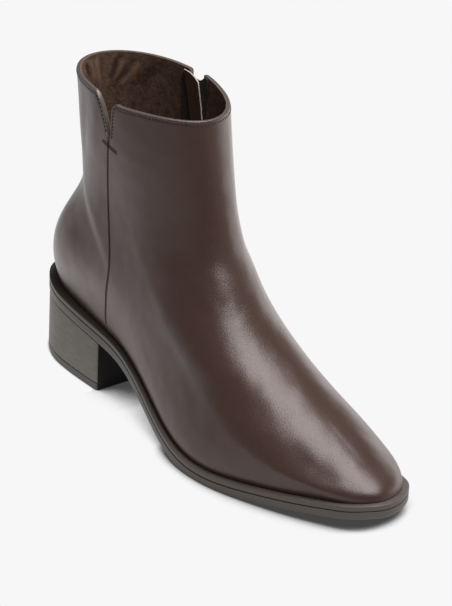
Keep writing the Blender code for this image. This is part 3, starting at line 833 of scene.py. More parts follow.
def calf_leather():
    """Smooth dyed calf: soft gloss in broad faint waves, slightly cloudy tone, painted edge at the collar.

    Its fine pebble grain is drawn coarser so that it shows.
    """
    made, tree, shader, place = new_material(
        "smooth_calf_leather",
        Coat_Weight=0.2,
        Coat_Roughness=0.28,
        Sheen_Weight=0.06,
        Sheen_Roughness=0.5,
        Sheen_Tint=linear("#f0c0b0"),
        Specular_Tint=linear("#fff5f4"),
        IOR=1.5,
    )
    cloud = add_node(tree, "ShaderNodeTexNoise", {"Vector": place, "Scale": per_mm(14), "Detail": 3.0})
    dyes = {0: cloud.outputs["Fac"], MIX_A: linear("#39261f"), MIX_B: linear("#3f2a23")}
    dyed = add_node(tree, "ShaderNodeMix", dyes, data_type="RGBA")
    from_collar = add_node(tree, "ShaderNodeAttribute", attribute_name="from_collar")
    fade = {"From Min": EDGE_PAINT + EDGE_PAINT_FADE, "From Max": EDGE_PAINT - EDGE_PAINT_FADE}
    paint = add_node(tree, "ShaderNodeMapRange", {"Value": from_collar.outputs["Fac"], **fade})
    tones = {0: paint.outputs["Result"], MIX_A: dyed.outputs[MIX_OUT], MIX_B: linear("#504b47")}
    tone = add_node(tree, "ShaderNodeMix", tones, data_type="RGBA")
    cells = {"Vector": place, "Scale": per_mm(0.6)}
    pebble = add_node(tree, "ShaderNodeTexVoronoi", cells, feature="SMOOTH_F1")
    fine = add_node(tree, "ShaderNodeTexNoise", {"Vector": place, "Scale": per_mm(0.65), "Detail": 2.0})
    both = {0: pebble.outputs["Distance"], 1: fine.outputs["Fac"]}
    grain = add_node(tree, "ShaderNodeMath", both, operation="ADD")
    spread = {"From Min": 0.4, "From Max": 1.4, "To Min": 0.32, "To Max": 0.4}
    gloss = add_node(tree, "ShaderNodeMapRange", {"Value": grain.outputs[0], **spread})
    wave = add_node(tree, "ShaderNodeTexNoise", {"Vector": place, "Scale": per_mm(16), "Detail": 1.0})
    depth = {"Height": wave.outputs["Fac"], "Strength": 1.0, "Distance": 0.9 * MM}
    waved = add_node(tree, "ShaderNodeBump", depth)
    depth = {"Height": grain.outputs[0], "Strength": 0.6, "Distance": 0.1 * MM}
    bump = add_node(tree, "ShaderNodeBump", {**depth, "Normal": waved.outputs["Normal"]})
    surface = {"Base Color": tone.outputs[MIX_OUT], "Roughness": gloss.outputs["Result"]}
    link_inputs(tree, shader, {**surface, "Normal": bump.outputs["Normal"]})
    return made


def napped_lining():
    """Brushed lining leather: matt, mottled brown, with a short nap, paler at its edge, with painted light
    and shade on its folds: ridges paler, grooves darker.
    """
    made, tree, shader, place = new_material(
        "napped_lining_leather",
        Roughness=0.95,
        Sheen_Weight=0.5,
        Sheen_Roughness=0.4,
        Sheen_Tint=linear("#8a6e5c"),
        IOR=1.4,
    )
    patch = add_node(tree, "ShaderNodeTexNoise", {"Vector": place, "Scale": per_mm(4), "Detail": 5.0})
    tuft = add_node(tree, "ShaderNodeTexNoise", {"Vector": place, "Scale": per_mm(1.1), "Detail": 3.0})
    both = {0: patch.outputs["Fac"], 1: tuft.outputs["Fac"]}
    mottle = add_node(tree, "ShaderNodeMath", both, operation="MULTIPLY")
    fold = add_node(tree, "ShaderNodeAttribute", attribute_name="fold")
    # Painted light and shade: the folds' ridges are drawn paler and their grooves darker
    raised = {0: fold.outputs["Fac"], 1: 0.22, 2: mottle.outputs[0]}
    mottle_and_fold_shade = add_node(tree, "ShaderNodeMath", raised, operation="MULTIPLY_ADD")
    spread = {"Value": mottle_and_fold_shade.outputs[0], "From Min": 0.12, "From Max": 0.42}
    share = add_node(tree, "ShaderNodeMapRange", spread)
    naps = {0: share.outputs["Result"], MIX_A: linear("#38271e"), MIX_B: linear("#654c3d")}
    nap = add_node(tree, "ShaderNodeMix", naps, data_type="RGBA")
    fringe = add_node(tree, "ShaderNodeAttribute", attribute_name="fringe")
    tones = {0: fringe.outputs["Fac"], MIX_A: nap.outputs[MIX_OUT], MIX_B: linear("#6a584e")}
    tone = add_node(tree, "ShaderNodeMix", tones, data_type="RGBA")
    depth = {"Height": mottle.outputs[0], "Strength": 0.7, "Distance": 0.6 * MM}
    bump = add_node(tree, "ShaderNodeBump", depth)
    link_inputs(tree, shader, {"Base Color": tone.outputs[MIX_OUT], "Normal": bump.outputs["Normal"]})
    return made


def moulded_rubber():
    """Moulded sole rubber: satin grey brown with a faint mould texture and a wavy tread underneath."""
    made, tree, shader, place = new_material("moulded_sole_rubber", IOR=1.5)
    speck = add_node(tree, "ShaderNodeTexNoise", {"Vector": place, "Scale": per_mm(1.2), "Detail": 3.0})
    speck = speck.outputs["Fac"]
    tones = {0: speck, MIX_A: linear("#4a423c"), MIX_B: linear("#554c45")}
    tone = add_node(tree, "ShaderNodeMix", tones, data_type="RGBA")
    gloss = add_node(tree, "ShaderNodeMapRange", {"Value": speck, "To Min": 0.42, "To Max": 0.52})
    bands = {"Vector": place, "Scale": per_mm(TREAD) * BANDS, "Distortion": 0.6}
    wave = add_node(tree, "ShaderNodeTexWave", bands).outputs["Fac"]
    facing = add_node(tree, "ShaderNodeNewGeometry").outputs["True Normal"]
    down = add_node(tree, "ShaderNodeSeparateXYZ", {"Vector": facing}).outputs["Z"]
    below = add_node(tree, "ShaderNodeMath", {0: down, 1: TREAD_FACING}, operation="LESS_THAN").outputs[0]
    tread = add_node(tree, "ShaderNodeMath", {0: wave, 1: below}, operation="MULTIPLY").outputs[0]
    relief = add_node(tree, "ShaderNodeMath", {0: speck, 1: 0.1, 2: tread}, operation="MULTIPLY_ADD")
    bump = add_node(tree, "ShaderNodeBump", {"Height": relief.outputs[0], "Distance": 0.5 * MM})
    surface = {"Base Color": tone.outputs[MIX_OUT], "Roughness": gloss.outputs["Result"]}
    link_inputs(tree, shader, {**surface, "Normal": bump.outputs["Normal"]})
    return made


def stacked_heel():
    """Moulded heel plastic with fine level lines, as if built from thin layers: matt grey brown."""
    made, tree, shader, place = new_material("lined_heel_plastic", Roughness=0.55, IOR=1.5)
    split = add_node(tree, "ShaderNodeMapping", {"Vector": place, "Scale": (0.06, 0.06, 1.0)})
    lines = {"Vector": split.outputs["Vector"], "Scale": per_mm(0.55), "Detail": 4.0}
    line = add_node(tree, "ShaderNodeTexNoise", lines).outputs["Fac"]
    streak = add_node(tree, "ShaderNodeMapRange", {"Value": line, "From Min": 0.35, "From Max": 0.65})
    tones = {0: streak.outputs["Result"], MIX_A: linear("#5c554e"), MIX_B: linear("#726b63")}
    tone = add_node(tree, "ShaderNodeMix", tones, data_type="RGBA")
    bump = add_node(tree, "ShaderNodeBump", {"Height": line, "Strength": 0.5, "Distance": 0.25 * MM})
    link_inputs(tree, shader, {"Base Color": tone.outputs[MIX_OUT], "Normal": bump.outputs["Normal"]})
    return made


def breast_painted_shade():
    """Dark colour on the front face of the heel, matt: painted shade for the shadow that falls there under
    the arch.
    """
    dark = linear("#1b1919")
    return new_material("heel_front_painted_shade", Base_Color=dark, Roughness=0.7, Specular_IOR_Level=0.2)[0]


def woven_tape():
    """Woven polyester tape: dark brown with a fine twill, drawn coarser so that it shows."""
    made, tree, shader, place = new_material("woven_polyester_tape", Roughness=0.8, Sheen_Weight=0.05)
    bands = {"Vector": place, "Scale": per_mm(TWILL) * DIAGONAL_BANDS, "Distortion": 0.4}
    twill = add_node(tree, "ShaderNodeTexWave", bands, bands_direction="DIAGONAL").outputs["Fac"]
    tones = {0: twill, MIX_A: linear("#1a130f"), MIX_B: linear("#2c211b")}
    tone = add_node(tree, "ShaderNodeMix", tones, data_type="RGBA")
    bump = add_node(tree, "ShaderNodeBump", {"Height": twill, "Strength": 0.5, "Distance": 0.2 * MM})
    link_inputs(tree, shader, {"Base Color": tone.outputs[MIX_OUT], "Normal": bump.outputs["Normal"]})
    return made


def plated_zinc():
    """Plated zinc castings of the zip: warm grey metal with a satin, lightly handled surface."""
    grey = linear("#b5ada2")
    made, tree, shader, place = new_material("plated_zinc", Base_Color=grey, Metallic=1.0)
    scuff = add_node(tree, "ShaderNodeTexNoise", {"Vector": place, "Scale": per_mm(1.5), "Detail": 4.0})
    satin = {"Value": scuff.outputs["Fac"], "To Min": 0.35, "To Max": 0.5}
    gloss = add_node(tree, "ShaderNodeMapRange", satin)
    link_inputs(tree, shader, {"Roughness": gloss.outputs["Result"]})
    return made


def sewing_thread():
    """Bonded sewing thread: dark brown, twisted, with a slight sheen along each stitch."""
    made, tree, shader, place = new_material(
        "sewing_thread", Specular_IOR_Level=0.15, Roughness=0.6, Sheen_Weight=0.2
    )
    twist = add_node(tree, "ShaderNodeTexNoise", {"Vector": place, "Scale": per_mm(0.3)})
    tones = {0: twist.outputs["Fac"], MIX_A: linear("#1c1411"), MIX_B: linear("#33261f")}
    tone = add_node(tree, "ShaderNodeMix", tones, data_type="RGBA")
    link_inputs(tree, shader, {"Base Color": tone.outputs[MIX_OUT]})
    return made


def raw_edge():
    """Cut edge of leather, pale and fibrous."""
    made, tree, shader, place = new_material("raw_leather_edge", Roughness=0.85)
    fibre = add_node(tree, "ShaderNodeTexNoise", {"Vector": place, "Scale": per_mm(0.5), "Detail": 3.0})
    tones = {0: fibre.outputs["Fac"], MIX_A: linear("#8d7f74"), MIX_B: linear("#c3b6aa")}
    tone = add_node(tree, "ShaderNodeMix", tones, data_type="RGBA")
    link_inputs(tree, shader, {"Base Color": tone.outputs[MIX_OUT]})
    return made


leather = calf_leather()
lining_leather = napped_lining()
rubber = moulded_rubber()
heel_plastic = stacked_heel()
heel_front_shade = breast_painted_shade()
tape_cloth = woven_tape()
zinc = plated_zinc()
thread = sewing_thread()
cut_edge = raw_edge()


def distance_to(points, edge_points):
    """Distance from each point to the nearest of the edge's points."""
    tree = kdtree.KDTree(len(edge_points))
    for number, point in enumerate(edge_points):
        tree.insert(point, number)
    tree.balance()
    return np.array([tree.find(point)[2] for point in points])


# Shares of a fold's length over which it dies out, beyond and within each end
FOLD_BEYOND = 0.25
FOLD_WITHIN = 0.3


def fold_lift(at_u, at_v, folds, names, side):
    """Lift of soft folds at points with two coordinates: each runs between two points and tapers off."""
    lift = np.zeros_like(at_u)
    u_from, v_from, u_to, v_to = (folds[name] for name in names)
    lower_width = folds.get("lower_width", folds["half_width"])
    for n in np.flatnonzero(folds["side"] == side):
        run = np.array([u_to[n] - u_from[n], v_to[n] - v_from[n]])
        share = ((at_u - u_from[n]) * run[0] + (at_v - v_from[n]) * run[1]) / (run @ run)
        aside = ((at_u - u_from[n]) * run[1] - (at_v - v_from[n]) * run[0]) / np.linalg.norm(run)
        width = np.where(aside < 0, folds["half_width"][n], lower_width[n])
        from_start = smooth(-FOLD_BEYOND, FOLD_WITHIN, share)
        to_end = smooth(1 + FOLD_BEYOND, 1 - FOLD_WITHIN, share)
        lift += folds["lift"][n] * from_start * to_end * np.exp(-((aside / width) ** 2))
    return lift


# Rows and columns of the upper's grid
walls = np.linspace(FIRST_WALL_ROW, NOTCH_RISE, WALL_ROWS)
collar_rises = 1 - np.concatenate([COLLAR_DROPS, RIM_DROPS]) / RISE_HEIGHT
rows = np.concatenate([FEATHER_ROWS, walls, collar_rises])
notch_row = len(FEATHER_ROWS) + WALL_ROWS - 1
slit_row = int(np.argmin(np.abs(rows - ZIP_FOOT_RISE)))
rows[slit_row] = ZIP_FOOT_RISE
lateral_grid = side_grid(LATERAL, rows)
medial_grid = side_grid(MEDIAL, rows)
grid = np.concatenate([lateral_grid, medial_grid[:, -2:0:-1]], axis=1)
columns = grid.shape[1]
seam_column = BACK_COLUMNS + len(NOTCH_STEPS)
flap_column = seam_column + len(SEAM_STEPS)
slit_front = lateral_grid.shape[1] + FRONT_COLUMNS - 2 + len(EDGE_STEPS)
slit_back = slit_front + len(SLIT_STEPS) + 1
quads = grid_quads(len(rows), columns, closed=True)
quad_row, quad_column = np.divmod(np.arange(len(quads)), columns)
in_notch = (quad_row >= notch_row) & (quad_column >= seam_column - 1) & (quad_column < flap_column)
in_slit = (quad_row >= slit_row) & (quad_column >= slit_front) & (quad_column < slit_back)
quads = quads[~in_notch & ~in_slit]

# Distances of the grid's points from the collar's edge, with its notch, and from the zip slit
points = grid.reshape(-1, 3)
normals = vertex_normals(points, quads)
number = np.arange(len(points)).reshape(len(rows), columns)
kept_top = np.r_[0:seam_column, flap_column : slit_front + 1, slit_back:columns]
collar_edge = np.concatenate(
    [
        number[-1, kept_top],
        number[notch_row:, flap_column],
        number[notch_row:, seam_column - 1],
        number[notch_row, seam_column:flap_column],
    ]
)
slit_edge = np.concatenate(
    [number[slit_row:, slit_front], number[slit_row:, slit_back], number[slit_row, slit_front:slit_back]]
)
from_collar = distance_to(points, points[collar_edge])
from_slit = distance_to(points, points[slit_edge])
from_edge = np.minimum(from_collar, from_slit)
from_seam = np.full((len(rows), columns), np.inf)
from_seam[:, BACK_COLUMNS : BACK_COLUMNS + len(marks[LATERAL])] = marks[LATERAL]
medial_marks = slice(slit_front - len(EDGE_STEPS) + 1, slit_back + len(EDGE_STEPS))
from_seam[: slit_row + 1, medial_marks] = marks[MEDIAL][::-1]
from_seam = np.abs(from_seam.ravel())
side_of = np.where(np.arange(columns) < lateral_grid.shape[1], LATERAL, MEDIAL)
side_of = np.tile(side_of, len(rows))

# The outer face with its creases, and the level way inwards at the feather edge
crease_ends = ("x_from", "height_from", "x_to", "height_to")
crease = np.zeros(len(points))
for side in (LATERAL, MEDIAL):
    lift = fold_lift(points[:, 0], points[:, 2], CREASES, crease_ends, side)
    crease += np.where(side_of == side, lift, 0.0)
creased = points + crease[:, None] * normals
inward = normals.copy()
inward[:columns, 2] = 0
inward = unit(inward)
backing = creased - LEATHER * inward


def upper_leather():
    """Outer leather with a painted cut edge, seam grooves, sunk stitch lines and soft creases."""
    drawn_in = rounded_edge(from_edge, EDGE_ROUND)
    groove = SEAM_DEPTH * np.exp(-((from_seam / SEAM_WIDTH) ** 2))
    groove *= np.where(from_collar < SEAM_HALF, 0.0, 1.0)
    sewn = STITCH_SINK * np.exp(-(((from_edge - STITCH_INSET) / STITCH_SINK_HALF) ** 2))
    outer = creased - (drawn_in + groove + sewn)[:, None] * normals
    piece, used = add_piece("upper_leather", walled(outer, backing, quads), [leather], UPPER_SHARP)
    store(piece.data, "from_collar", np.concatenate([from_collar, np.zeros(len(points))])[used])
    hand_in(piece, "boot", "brown_leather", "upper")


def lining():
    """Napped lining inside the leather, flush with its edge, with the folds that it takes round the back."""
    rings = np.concatenate([grid, grid[:, :1]], axis=1)
    length = np.array([running_length(ring) for ring in rings])
    ahead, behind = length[:, :-1], length[:, -1:] - length[:, :-1]
    drop = (1 - np.repeat(rows, columns)) * RISE_HEIGHT
    fold_ends = ("length_from", "drop_from", "length_to", "drop_to")
    lift = np.zeros(len(points))
    for side, run in ((LATERAL, ahead), (MEDIAL, behind)):
        fold = fold_lift(run.ravel(), drop, LINING_FOLDS, fold_ends, side)
        lift += np.where(side_of == side, fold, 0.0)
    lift *= smooth(FOLDS_FROM, FOLDS_FULL, from_edge)
    reach = LINING_TO - rounded_edge(from_edge, LINING_ROUND) + lift
    face = creased - reach[:, None] * inward
    piece, used = add_piece("lining", walled(backing, face, quads), [lining_leather], UPPER_SHARP)
    fringe = smooth(4 * LINING_FRINGE, LINING_FRINGE, from_edge)
    # The folds' lift is kept so that the material paints their ridges paler and grooves darker: painted
    # light and shade
    store(piece.data, "fold", np.concatenate([lift, lift])[used])
    store(piece.data, "fringe", np.concatenate([fringe, fringe])[used])
    hand_in(piece, "boot", "sock_leather")


def row_along_path(name, shape_kind, shape_sizes):
    """Node tree that sets a small shape along a path, a stitch or a tooth, by its size and spacing."""
    tree = bpy.data.node_groups.new(name, "GeometryNodeTree")
    inputs = dict(Path="Geometry", Pitch="Float", Lift="Float", Size="Vector", Material="Material")
    for label, kind in inputs.items():
        tree.interface.new_socket(label, in_out="INPUT", socket_type="NodeSocket" + kind)
    tree.interface.new_socket("Row", in_out="OUTPUT", socket_type="NodeSocketGeometry")
    given = add_node(tree, "NodeGroupInput").outputs
    curve = add_node(tree, "GeometryNodeMeshToCurve", {"Mesh": given["Path"]})
    spacing = {"Curve": curve.outputs["Curve"], "Length": given["Pitch"]}
    spots = add_node(tree, "GeometryNodeCurveToPoints", spacing, mode="LENGTH")
    stored = {"Name": "outward"}
    outward = add_node(tree, "GeometryNodeInputNamedAttribute", stored, data_type="FLOAT_VECTOR")
    outward = outward.outputs["Attribute"]
    raised = add_node(tree, "ShaderNodeVectorMath", {0: outward, "Scale": given["Lift"]}, operation="SCALE")
    lift = {"Geometry": spots.outputs["Points"], "Offset": raised.outputs["Vector"]}
    moved = add_node(tree, "GeometryNodeSetPosition", lift)
    upright = add_node(tree, "FunctionNodeAlignRotationToVector", {"Vector": outward}, axis="Z")
    turn = {"Rotation": upright.outputs["Rotation"], "Vector": spots.outputs["Tangent"]}
    along = add_node(tree, "FunctionNodeAlignRotationToVector", turn, axis="X", pivot_axis="Z")
    shape = add_node(tree, shape_kind, shape_sizes)
    places = {
        "Points": moved.outputs["Geometry"],
        "Instance": shape.outputs["Mesh"],
        "Rotation": along.outputs["Rotation"],
        "Scale": given["Size"],
    }
    placed = add_node(tree, "GeometryNodeInstanceOnPoints", places)
    real = add_node(tree, "GeometryNodeRealizeInstances", {"Geometry": placed.outputs["Instances"]})
    finish = {"Geometry": real.outputs["Geometry"], "Material": given["Material"]}
    finished = add_node(tree, "GeometryNodeSetMaterial", finish)
    add_node(tree, "NodeGroupOutput", {"Row": finished.outputs["Geometry"]})
    return tree


def add_row(name, runs, tree, finish, smooth_faces=True, **sizes):
    """Piece made by a row tree along runs of points and outward normals. Sizes are in metres."""
    spots = np.concatenate([run[0] for run in runs])
    outward = np.concatenate([run[1] for run in runs])
    counts = np.cumsum([0] + [len(run[0]) for run in runs])
    edges = [(i, i + 1) for a, b in zip(counts, counts[1:]) for i in range(a, b - 1)]
    path = bpy.data.meshes.new(name + "_path")
    path.from_pydata(((spots - MIDDLE) * MM).tolist(), edges, [])
    store(path, "outward", outward)
    piece = add_object(name, path)
    maker = piece.modifiers.new("row", "NODES")
    maker.node_group = tree
    sizes["Material"] = finish
    for item in tree.interface.items_tree:
        if item.in_out == "INPUT" and item.name in sizes:
            maker[item.identifier] = sizes[item.name]
    made = made_plain(piece)
    made.name = name
    if smooth_faces:
        made.shade_smooth()
    return piece


def joined(*runs):
    """One run of points and normals from several that follow each other."""
    return tuple(np.concatenate([run[k] for run in runs]) for k in range(2))


def turned_back(run):
    """A run from its other end."""
    return run[0][::-1], run[1][::-1]


def corner_run(side, edge, facing, corner):
    """Stitch run round a panel's top corner, from its edge to its top: facing is 1 ahead of the edge."""
    turn = np.linspace(0, np.pi / 2, CORNER_STEPS)
    radius = max(corner - STITCH_INSET, STITCH_SINK)
    middle = STITCH_INSET + radius
    offsets = edge + facing * (middle - radius * np.cos(turn))
    return near_line(side, offsets, middle - radius * np.sin(turn))


def straight_run(side, offset, drop_from, drop_to):
    """Stitch run along a panel's edge beside the seam or zip."""
    drops = np.linspace(drop_from, drop_to, RUN_STEPS)
    return near_line(side, np.full(RUN_STEPS, offset), drops)


def collar_lengths(side):
    """Crossing of the seam or zip, and whole length, of the ring that the collar's stitches follow."""
    rise = 1 - STITCH_INSET / RISE_HEIGHT
    return crossing(rise, side), half_ring(rise, side)[2][-1]


def front_panel_stitches():
    """Run from the notch over the flap's corner, round the front to the zip, and down and up its slit."""
    seam, lateral_end = collar_lengths(LATERAL)
    zip_middle, medial_end = collar_lengths(MEDIAL)
    edge = SLIT_HALF + STITCH_INSET
    foot = (1 - ZIP_FOOT_RISE) * RISE_HEIGHT + STITCH_INSET
    under_slit = np.linspace(edge, -edge, UNDER_SLIT_STEPS)[1:-1]
    return joined(
        straight_run(LATERAL, SEAM_HALF + STITCH_INSET, NOTCH_DEPTH - 2 * STITCH_GAP, CORNER + STITCH_GAP),
        corner_run(LATERAL, SEAM_HALF, 1, CORNER),
        round_collar(STITCH_INSET, LATERAL, seam + SEAM_HALF + CORNER + STITCH_GAP, lateral_end),
        round_collar(STITCH_INSET, MEDIAL, medial_end, zip_middle + edge + ZIP_FLARE + STITCH_GAP),
        turned_back(corner_run(MEDIAL, SLIT_HALF, 1, ZIP_CORNER)),
        straight_run(MEDIAL, edge, 2 * STITCH_INSET, foot),
        near_line(MEDIAL, under_slit, np.full(len(under_slit), foot)),
        straight_run(MEDIAL, -edge, foot, 2 * STITCH_INSET),
        corner_run(MEDIAL, -SLIT_HALF, -1, ZIP_CORNER),
    )


def back_panel_stitches():
    """Run from the zip's back corner round the heel side to the notch, and down the V."""
    zip_middle, _ = collar_lengths(MEDIAL)
    seam, _ = collar_lengths(LATERAL)
    behind = np.linspace(NOTCH_LENGTH + V_START, V_END, V_STEPS)
    slope = NOTCH_POWER * NOTCH_DEPTH / NOTCH_LENGTH
    slope = slope * np.maximum(1 - behind / NOTCH_LENGTH, 0) ** (NOTCH_POWER - 1)
    lean = np.sqrt(1 + slope**2)
    offsets = -behind - STITCH_INSET * slope / lean
    return joined(
        round_collar(STITCH_INSET, MEDIAL, zip_middle - SLIT_HALF - STITCH_INSET - STITCH_GAP, 0.0),
        round_collar(STITCH_INSET, LATERAL, BACK_GAP, seam - NOTCH_LENGTH - V_BEFORE),
        near_line(LATERAL, offsets, notch_drop(behind) + STITCH_INSET / lean),
    )


def add_stitches():
    """Stitch rows along the edges, and the bar tack that locks the seam under its notch."""
    bead = {"Segments": 8, "Rings": 5, "Radius": 0.5}
    stitch = row_along_path("stitch_row", "GeometryNodeMeshUVSphere", bead)
    sizes = dict(Pitch=STITCH_PITCH * MM, Size=[size * MM for size in STITCH])
    seam_foot = (1 - FIRST_WALL_ROW) * RISE_HEIGHT
    seam = straight_run(LATERAL, -SEAM_WIDTH, NOTCH_DEPTH + 2 * STITCH_GAP, seam_foot)
    runs = [front_panel_stitches(), back_panel_stitches(), seam]
    piece = add_row("edge_stitches", runs, stitch, thread, **sizes)
    hand_in(piece, "boot", "brown_leather")
    offsets, drops = np.linspace(TACK_FROM, TACK_TO, TACK_STEPS).T
    tacks = [near_line(LATERAL, offsets, drops + aside) for aside in (-TACK_ASIDE, TACK_ASIDE)]
    sizes = dict(Pitch=TACK_PITCH * MM, Size=[size * MM for size in TACK_STITCH])
    piece = add_row("bar_tack", tacks, stitch, thread, **sizes)
    hand_in(piece, "boot", "brown_leather")


def merged(*solids):
    """One solid's points and faces from several."""
    starts = np.cumsum([0] + [len(solid[0]) for solid in solids])
    faces = []
    for start, solid in zip(starts.tolist(), solids):
        faces += [tuple(start + k for k in face) for face in solid[1]]
    return np.concatenate([solid[0] for solid in solids]), faces


def tape_half(facing):
    """One half of the zip tape, from its toothed edge outwards: the front half peeks out at the collar."""
    across = np.linspace(TAPE_SLIT, TAPE_HALF, TAPE_GRID[1])[None, :]
    tip = TAPE_TIP * smooth(TAPE_SLIT, TAPE_HALF, across) if facing > 0 else 0 * across
    top = 1 - (TAPE_DROP - tip) / RISE_HEIGHT
    foot = rise_of(ZIP_FOOT - TAPE_FOOT, MEDIAL)
    rises = foot + np.linspace(0, 1, TAPE_GRID[0])[:, None] * (top - foot)
    offsets = facing * across + (zip_flare(rises) if facing > 0 else 0 * rises)
    order = slice(None, None, -facing)
    return zip_sheet(rises[:, order], offsets[:, order], WALL + GAP, TAPE_THICK)


def guard_sheet():
    """Guard flap behind the zip: it leans back near the collar and its top falls towards the front."""
    across = np.linspace(1, -1, GUARD_GRID[1])[None, :]
    drops = GUARD_DROP + GUARD_FALL * ((1 + across) / 2) ** 3
    share = np.linspace(0, 1, GUARD_GRID[0])[:, None]
    rises = ZIP_FOOT_RISE + share * (1 - drops / RISE_HEIGHT - ZIP_FOOT_RISE)
    near_collar = np.clip(1 - (1 - rises) * RISE_HEIGHT / GUARD_LEAN_HEIGHT, 0, 1)
    offsets = GUARD_AHEAD - GUARD_LEAN * near_collar + GUARD_HALF * across
    return zip_sheet(rises, offsets, WALL + TAPE_THICK + 2 * GAP, GUARD_THICK)


def teeth_run(facing, lag):
    """Run along one toothed edge of the zip, its foot higher by a lag."""
    foot = rise_of(ZIP_FOOT + CHAIN_FOOT + lag, MEDIAL)
    rises = np.linspace(foot, 1 - CHAIN_DROP / RISE_HEIGHT, TEETH_STEPS)
    offsets = facing * TOOTH_ASIDE + (zip_flare(rises) if facing > 0 else 0 * rises)
    return beside_line(rises, offsets, MEDIAL)


def add_zip():
    """Tape, teeth, guard flap, slider and pull tab of the inside zip."""
    piece, _ = add_piece("tape", merged(tape_half(1), tape_half(-1)), [tape_cloth])
    hand_in(piece, "boot", "tape_cloth", "zip_tape")

    piece, _ = add_piece("guard_flap", guard_sheet(), [leather, cut_edge])
    rim = 2 * (GUARD_GRID[0] - 1) * (GUARD_GRID[1] - 1)
    for face in piece.data.polygons[rim:]:
        face.material_index = 1
    store(piece.data, "from_collar", np.full(len(piece.data.vertices), 2 * EDGE_PAINT))
    hand_in(piece, "boot", "brown_leather", "zip_guard")

    piece = add_row(
        "zip_teeth",
        [teeth_run(1, 0.0), teeth_run(-1, TOOTH_PITCH / 2)],
        row_along_path("tooth_row", "GeometryNodeMeshCube", {}),
        zinc,
        smooth_faces=False,
        Pitch=TOOTH_PITCH * MM,
        Lift=-TOOTH_DEPTH * MM,
        Size=[size * MM for size in TOOTH],
    )
    hand_in(piece, "boot", "zip_metal", "zip_chain")
    for node, body in (("zip_slider", "boot"), ("zip_pull_tab", "pull_tab")):
        piece = softened(node, node.replace("zip_", "cast_"), zinc)
        hand_in(piece, body, "zip_metal", node)


def softened(node, name, finish):
    """Copy of a solid with its corners merged and its edges rounded."""
    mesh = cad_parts[node].data.copy()
    mesh.name = name
    shape = bmesh.new()
    shape.from_mesh(mesh)
    bmesh.ops.remove_doubles(shape, verts=shape.verts, dist=CAST_MERGE * MM)
    bmesh.ops.dissolve_limit(shape, angle_limit=math.radians(1), verts=shape.verts, edges=shape.edges)
    shape.to_mesh(mesh)
    shape.free()
    mesh.materials.clear()
    mesh.materials.append(finish)
    piece = add_object(name, mesh)
    bevel = piece.modifiers.new("edges", "BEVEL")
    bevel.width = CAST_ROUND * MM
    bevel.segments = 3
    bevel.limit_method = "ANGLE"
    made = made_plain(piece)
    made.shade_smooth()
    made.set_sharp_from_angle(angle=math.radians(40))
    return piece


def add_sole():
    """Outsole, welt, heel block, top piece and insole. The heel's front faces take the second finish, a dark
    painted shade.
    """
    layers = (
        ("unit_outsole", outsole(), [rubber], "sole_rubber", "outsole"),
        ("welt_bead", welt(), [rubber], "sole_rubber", "welt"),
        ("lined_heel", heel_block(), [heel_plastic, heel_front_shade], "heel_stack", "heel_block"),
        ("top_piece", heel_top_piece(), [rubber, heel_front_shade], "sole_rubber", "heel_top_piece"),
        ("sock", insole(), [lining_leather], "sock_leather", "insole"),
    )
    for name, solid, finishes, slot, node in layers:
        piece, _ = add_piece(name, solid, finishes)
        # Faces turned to the front of heel and top piece get the dark painted shade
        for face in piece.data.polygons:
            face.material_index = int(len(finishes) > 1 and face.normal.x > BREAST_FACING)
        hand_in(piece, "boot", slot, node)


upper_leather()
lining()
add_stitches()
add_zip()
add_sole()

# Camera fitted to the photograph, in the solids' frame
CAMERA_AZIMUTH = math.radians(51.43)
CAMERA_ELEVATION = math.radians(25.68)
CAMERA_ROLL = math.radians(2.31)
CAMERA_DISTANCE = 1.07538
CAMERA_TARGET = Vector((0.00978, 0.003256, 0.07352))
FOCAL_PIXELS = 2099.22
IMAGE_WIDTH = 452
SENSOR = 36.0


def add_camera():
    """Camera at the photograph's viewing angle."""
    sin_a, cos_a = math.sin(CAMERA_AZIMUTH), math.cos(CAMERA_AZIMUTH)
    sin_e, cos_e = math.sin(CAMERA_ELEVATION), math.cos(CAMERA_ELEVATION)
    back = Vector((sin_a * cos_e, -cos_a * cos_e, sin_e))
    right = Vector((cos_a, sin_a, 0.0))
    up = back.cross(right)
    rolled_right = right * math.cos(CAMERA_ROLL) + up * math.sin(CAMERA_ROLL)
    rolled_up = up * math.cos(CAMERA_ROLL) - right * math.sin(CAMERA_ROLL)
    lens = bpy.data.cameras.new("camera")
    lens.sensor_fit = "HORIZONTAL"
    lens.sensor_width = SENSOR
    lens.lens = FOCAL_PIXELS / IMAGE_WIDTH * SENSOR
    lens.clip_start = 0.01
    camera = add_object("camera", lens)
    turn = Matrix((rolled_right, rolled_up, back)).transposed().to_4x4()
    camera.matrix_world = Matrix.Translation(CAMERA_TARGET + back * CAMERA_DISTANCE) @ turn
    bpy.context.scene.camera = camera


def add_panel(name, place, tilt, turn, width, height, radiance):
    """Soft panel light, unseen by the camera: it faces down at tilt 0 and +Y at tilt 90, in degrees."""
    light = bpy.data.lights.new(name, "AREA")
    light.shape = "RECTANGLE"
    light.size = width
    light.size_y = height
    light.energy = radiance * math.pi * width * height
    panel = add_object(name, light)
    facing = Matrix.Rotation(math.radians(turn), 4, "Z") @ Matrix.Rotation(math.radians(tilt), 4, "X")
    panel.matrix_world = Matrix.Translation(place) @ facing
    panel.visible_camera = False


# Studio: pale floor with a soft contact shadow, and dim surroundings
FLOOR_HALF = 4.0
FLOOR_FULL = 0.15
FLOOR_END = 1.3
FLOOR_WHITE = "#f7f7f7"
SHADOW_GREY = "#444444"
LIT_FROM = (0.4, 0.65, 0.6)
SHADOW_FULL = 0.42
SHADOW_NONE = 0.72
SHADOW_SAMPLES = 16
SURROUNDINGS = 0.12

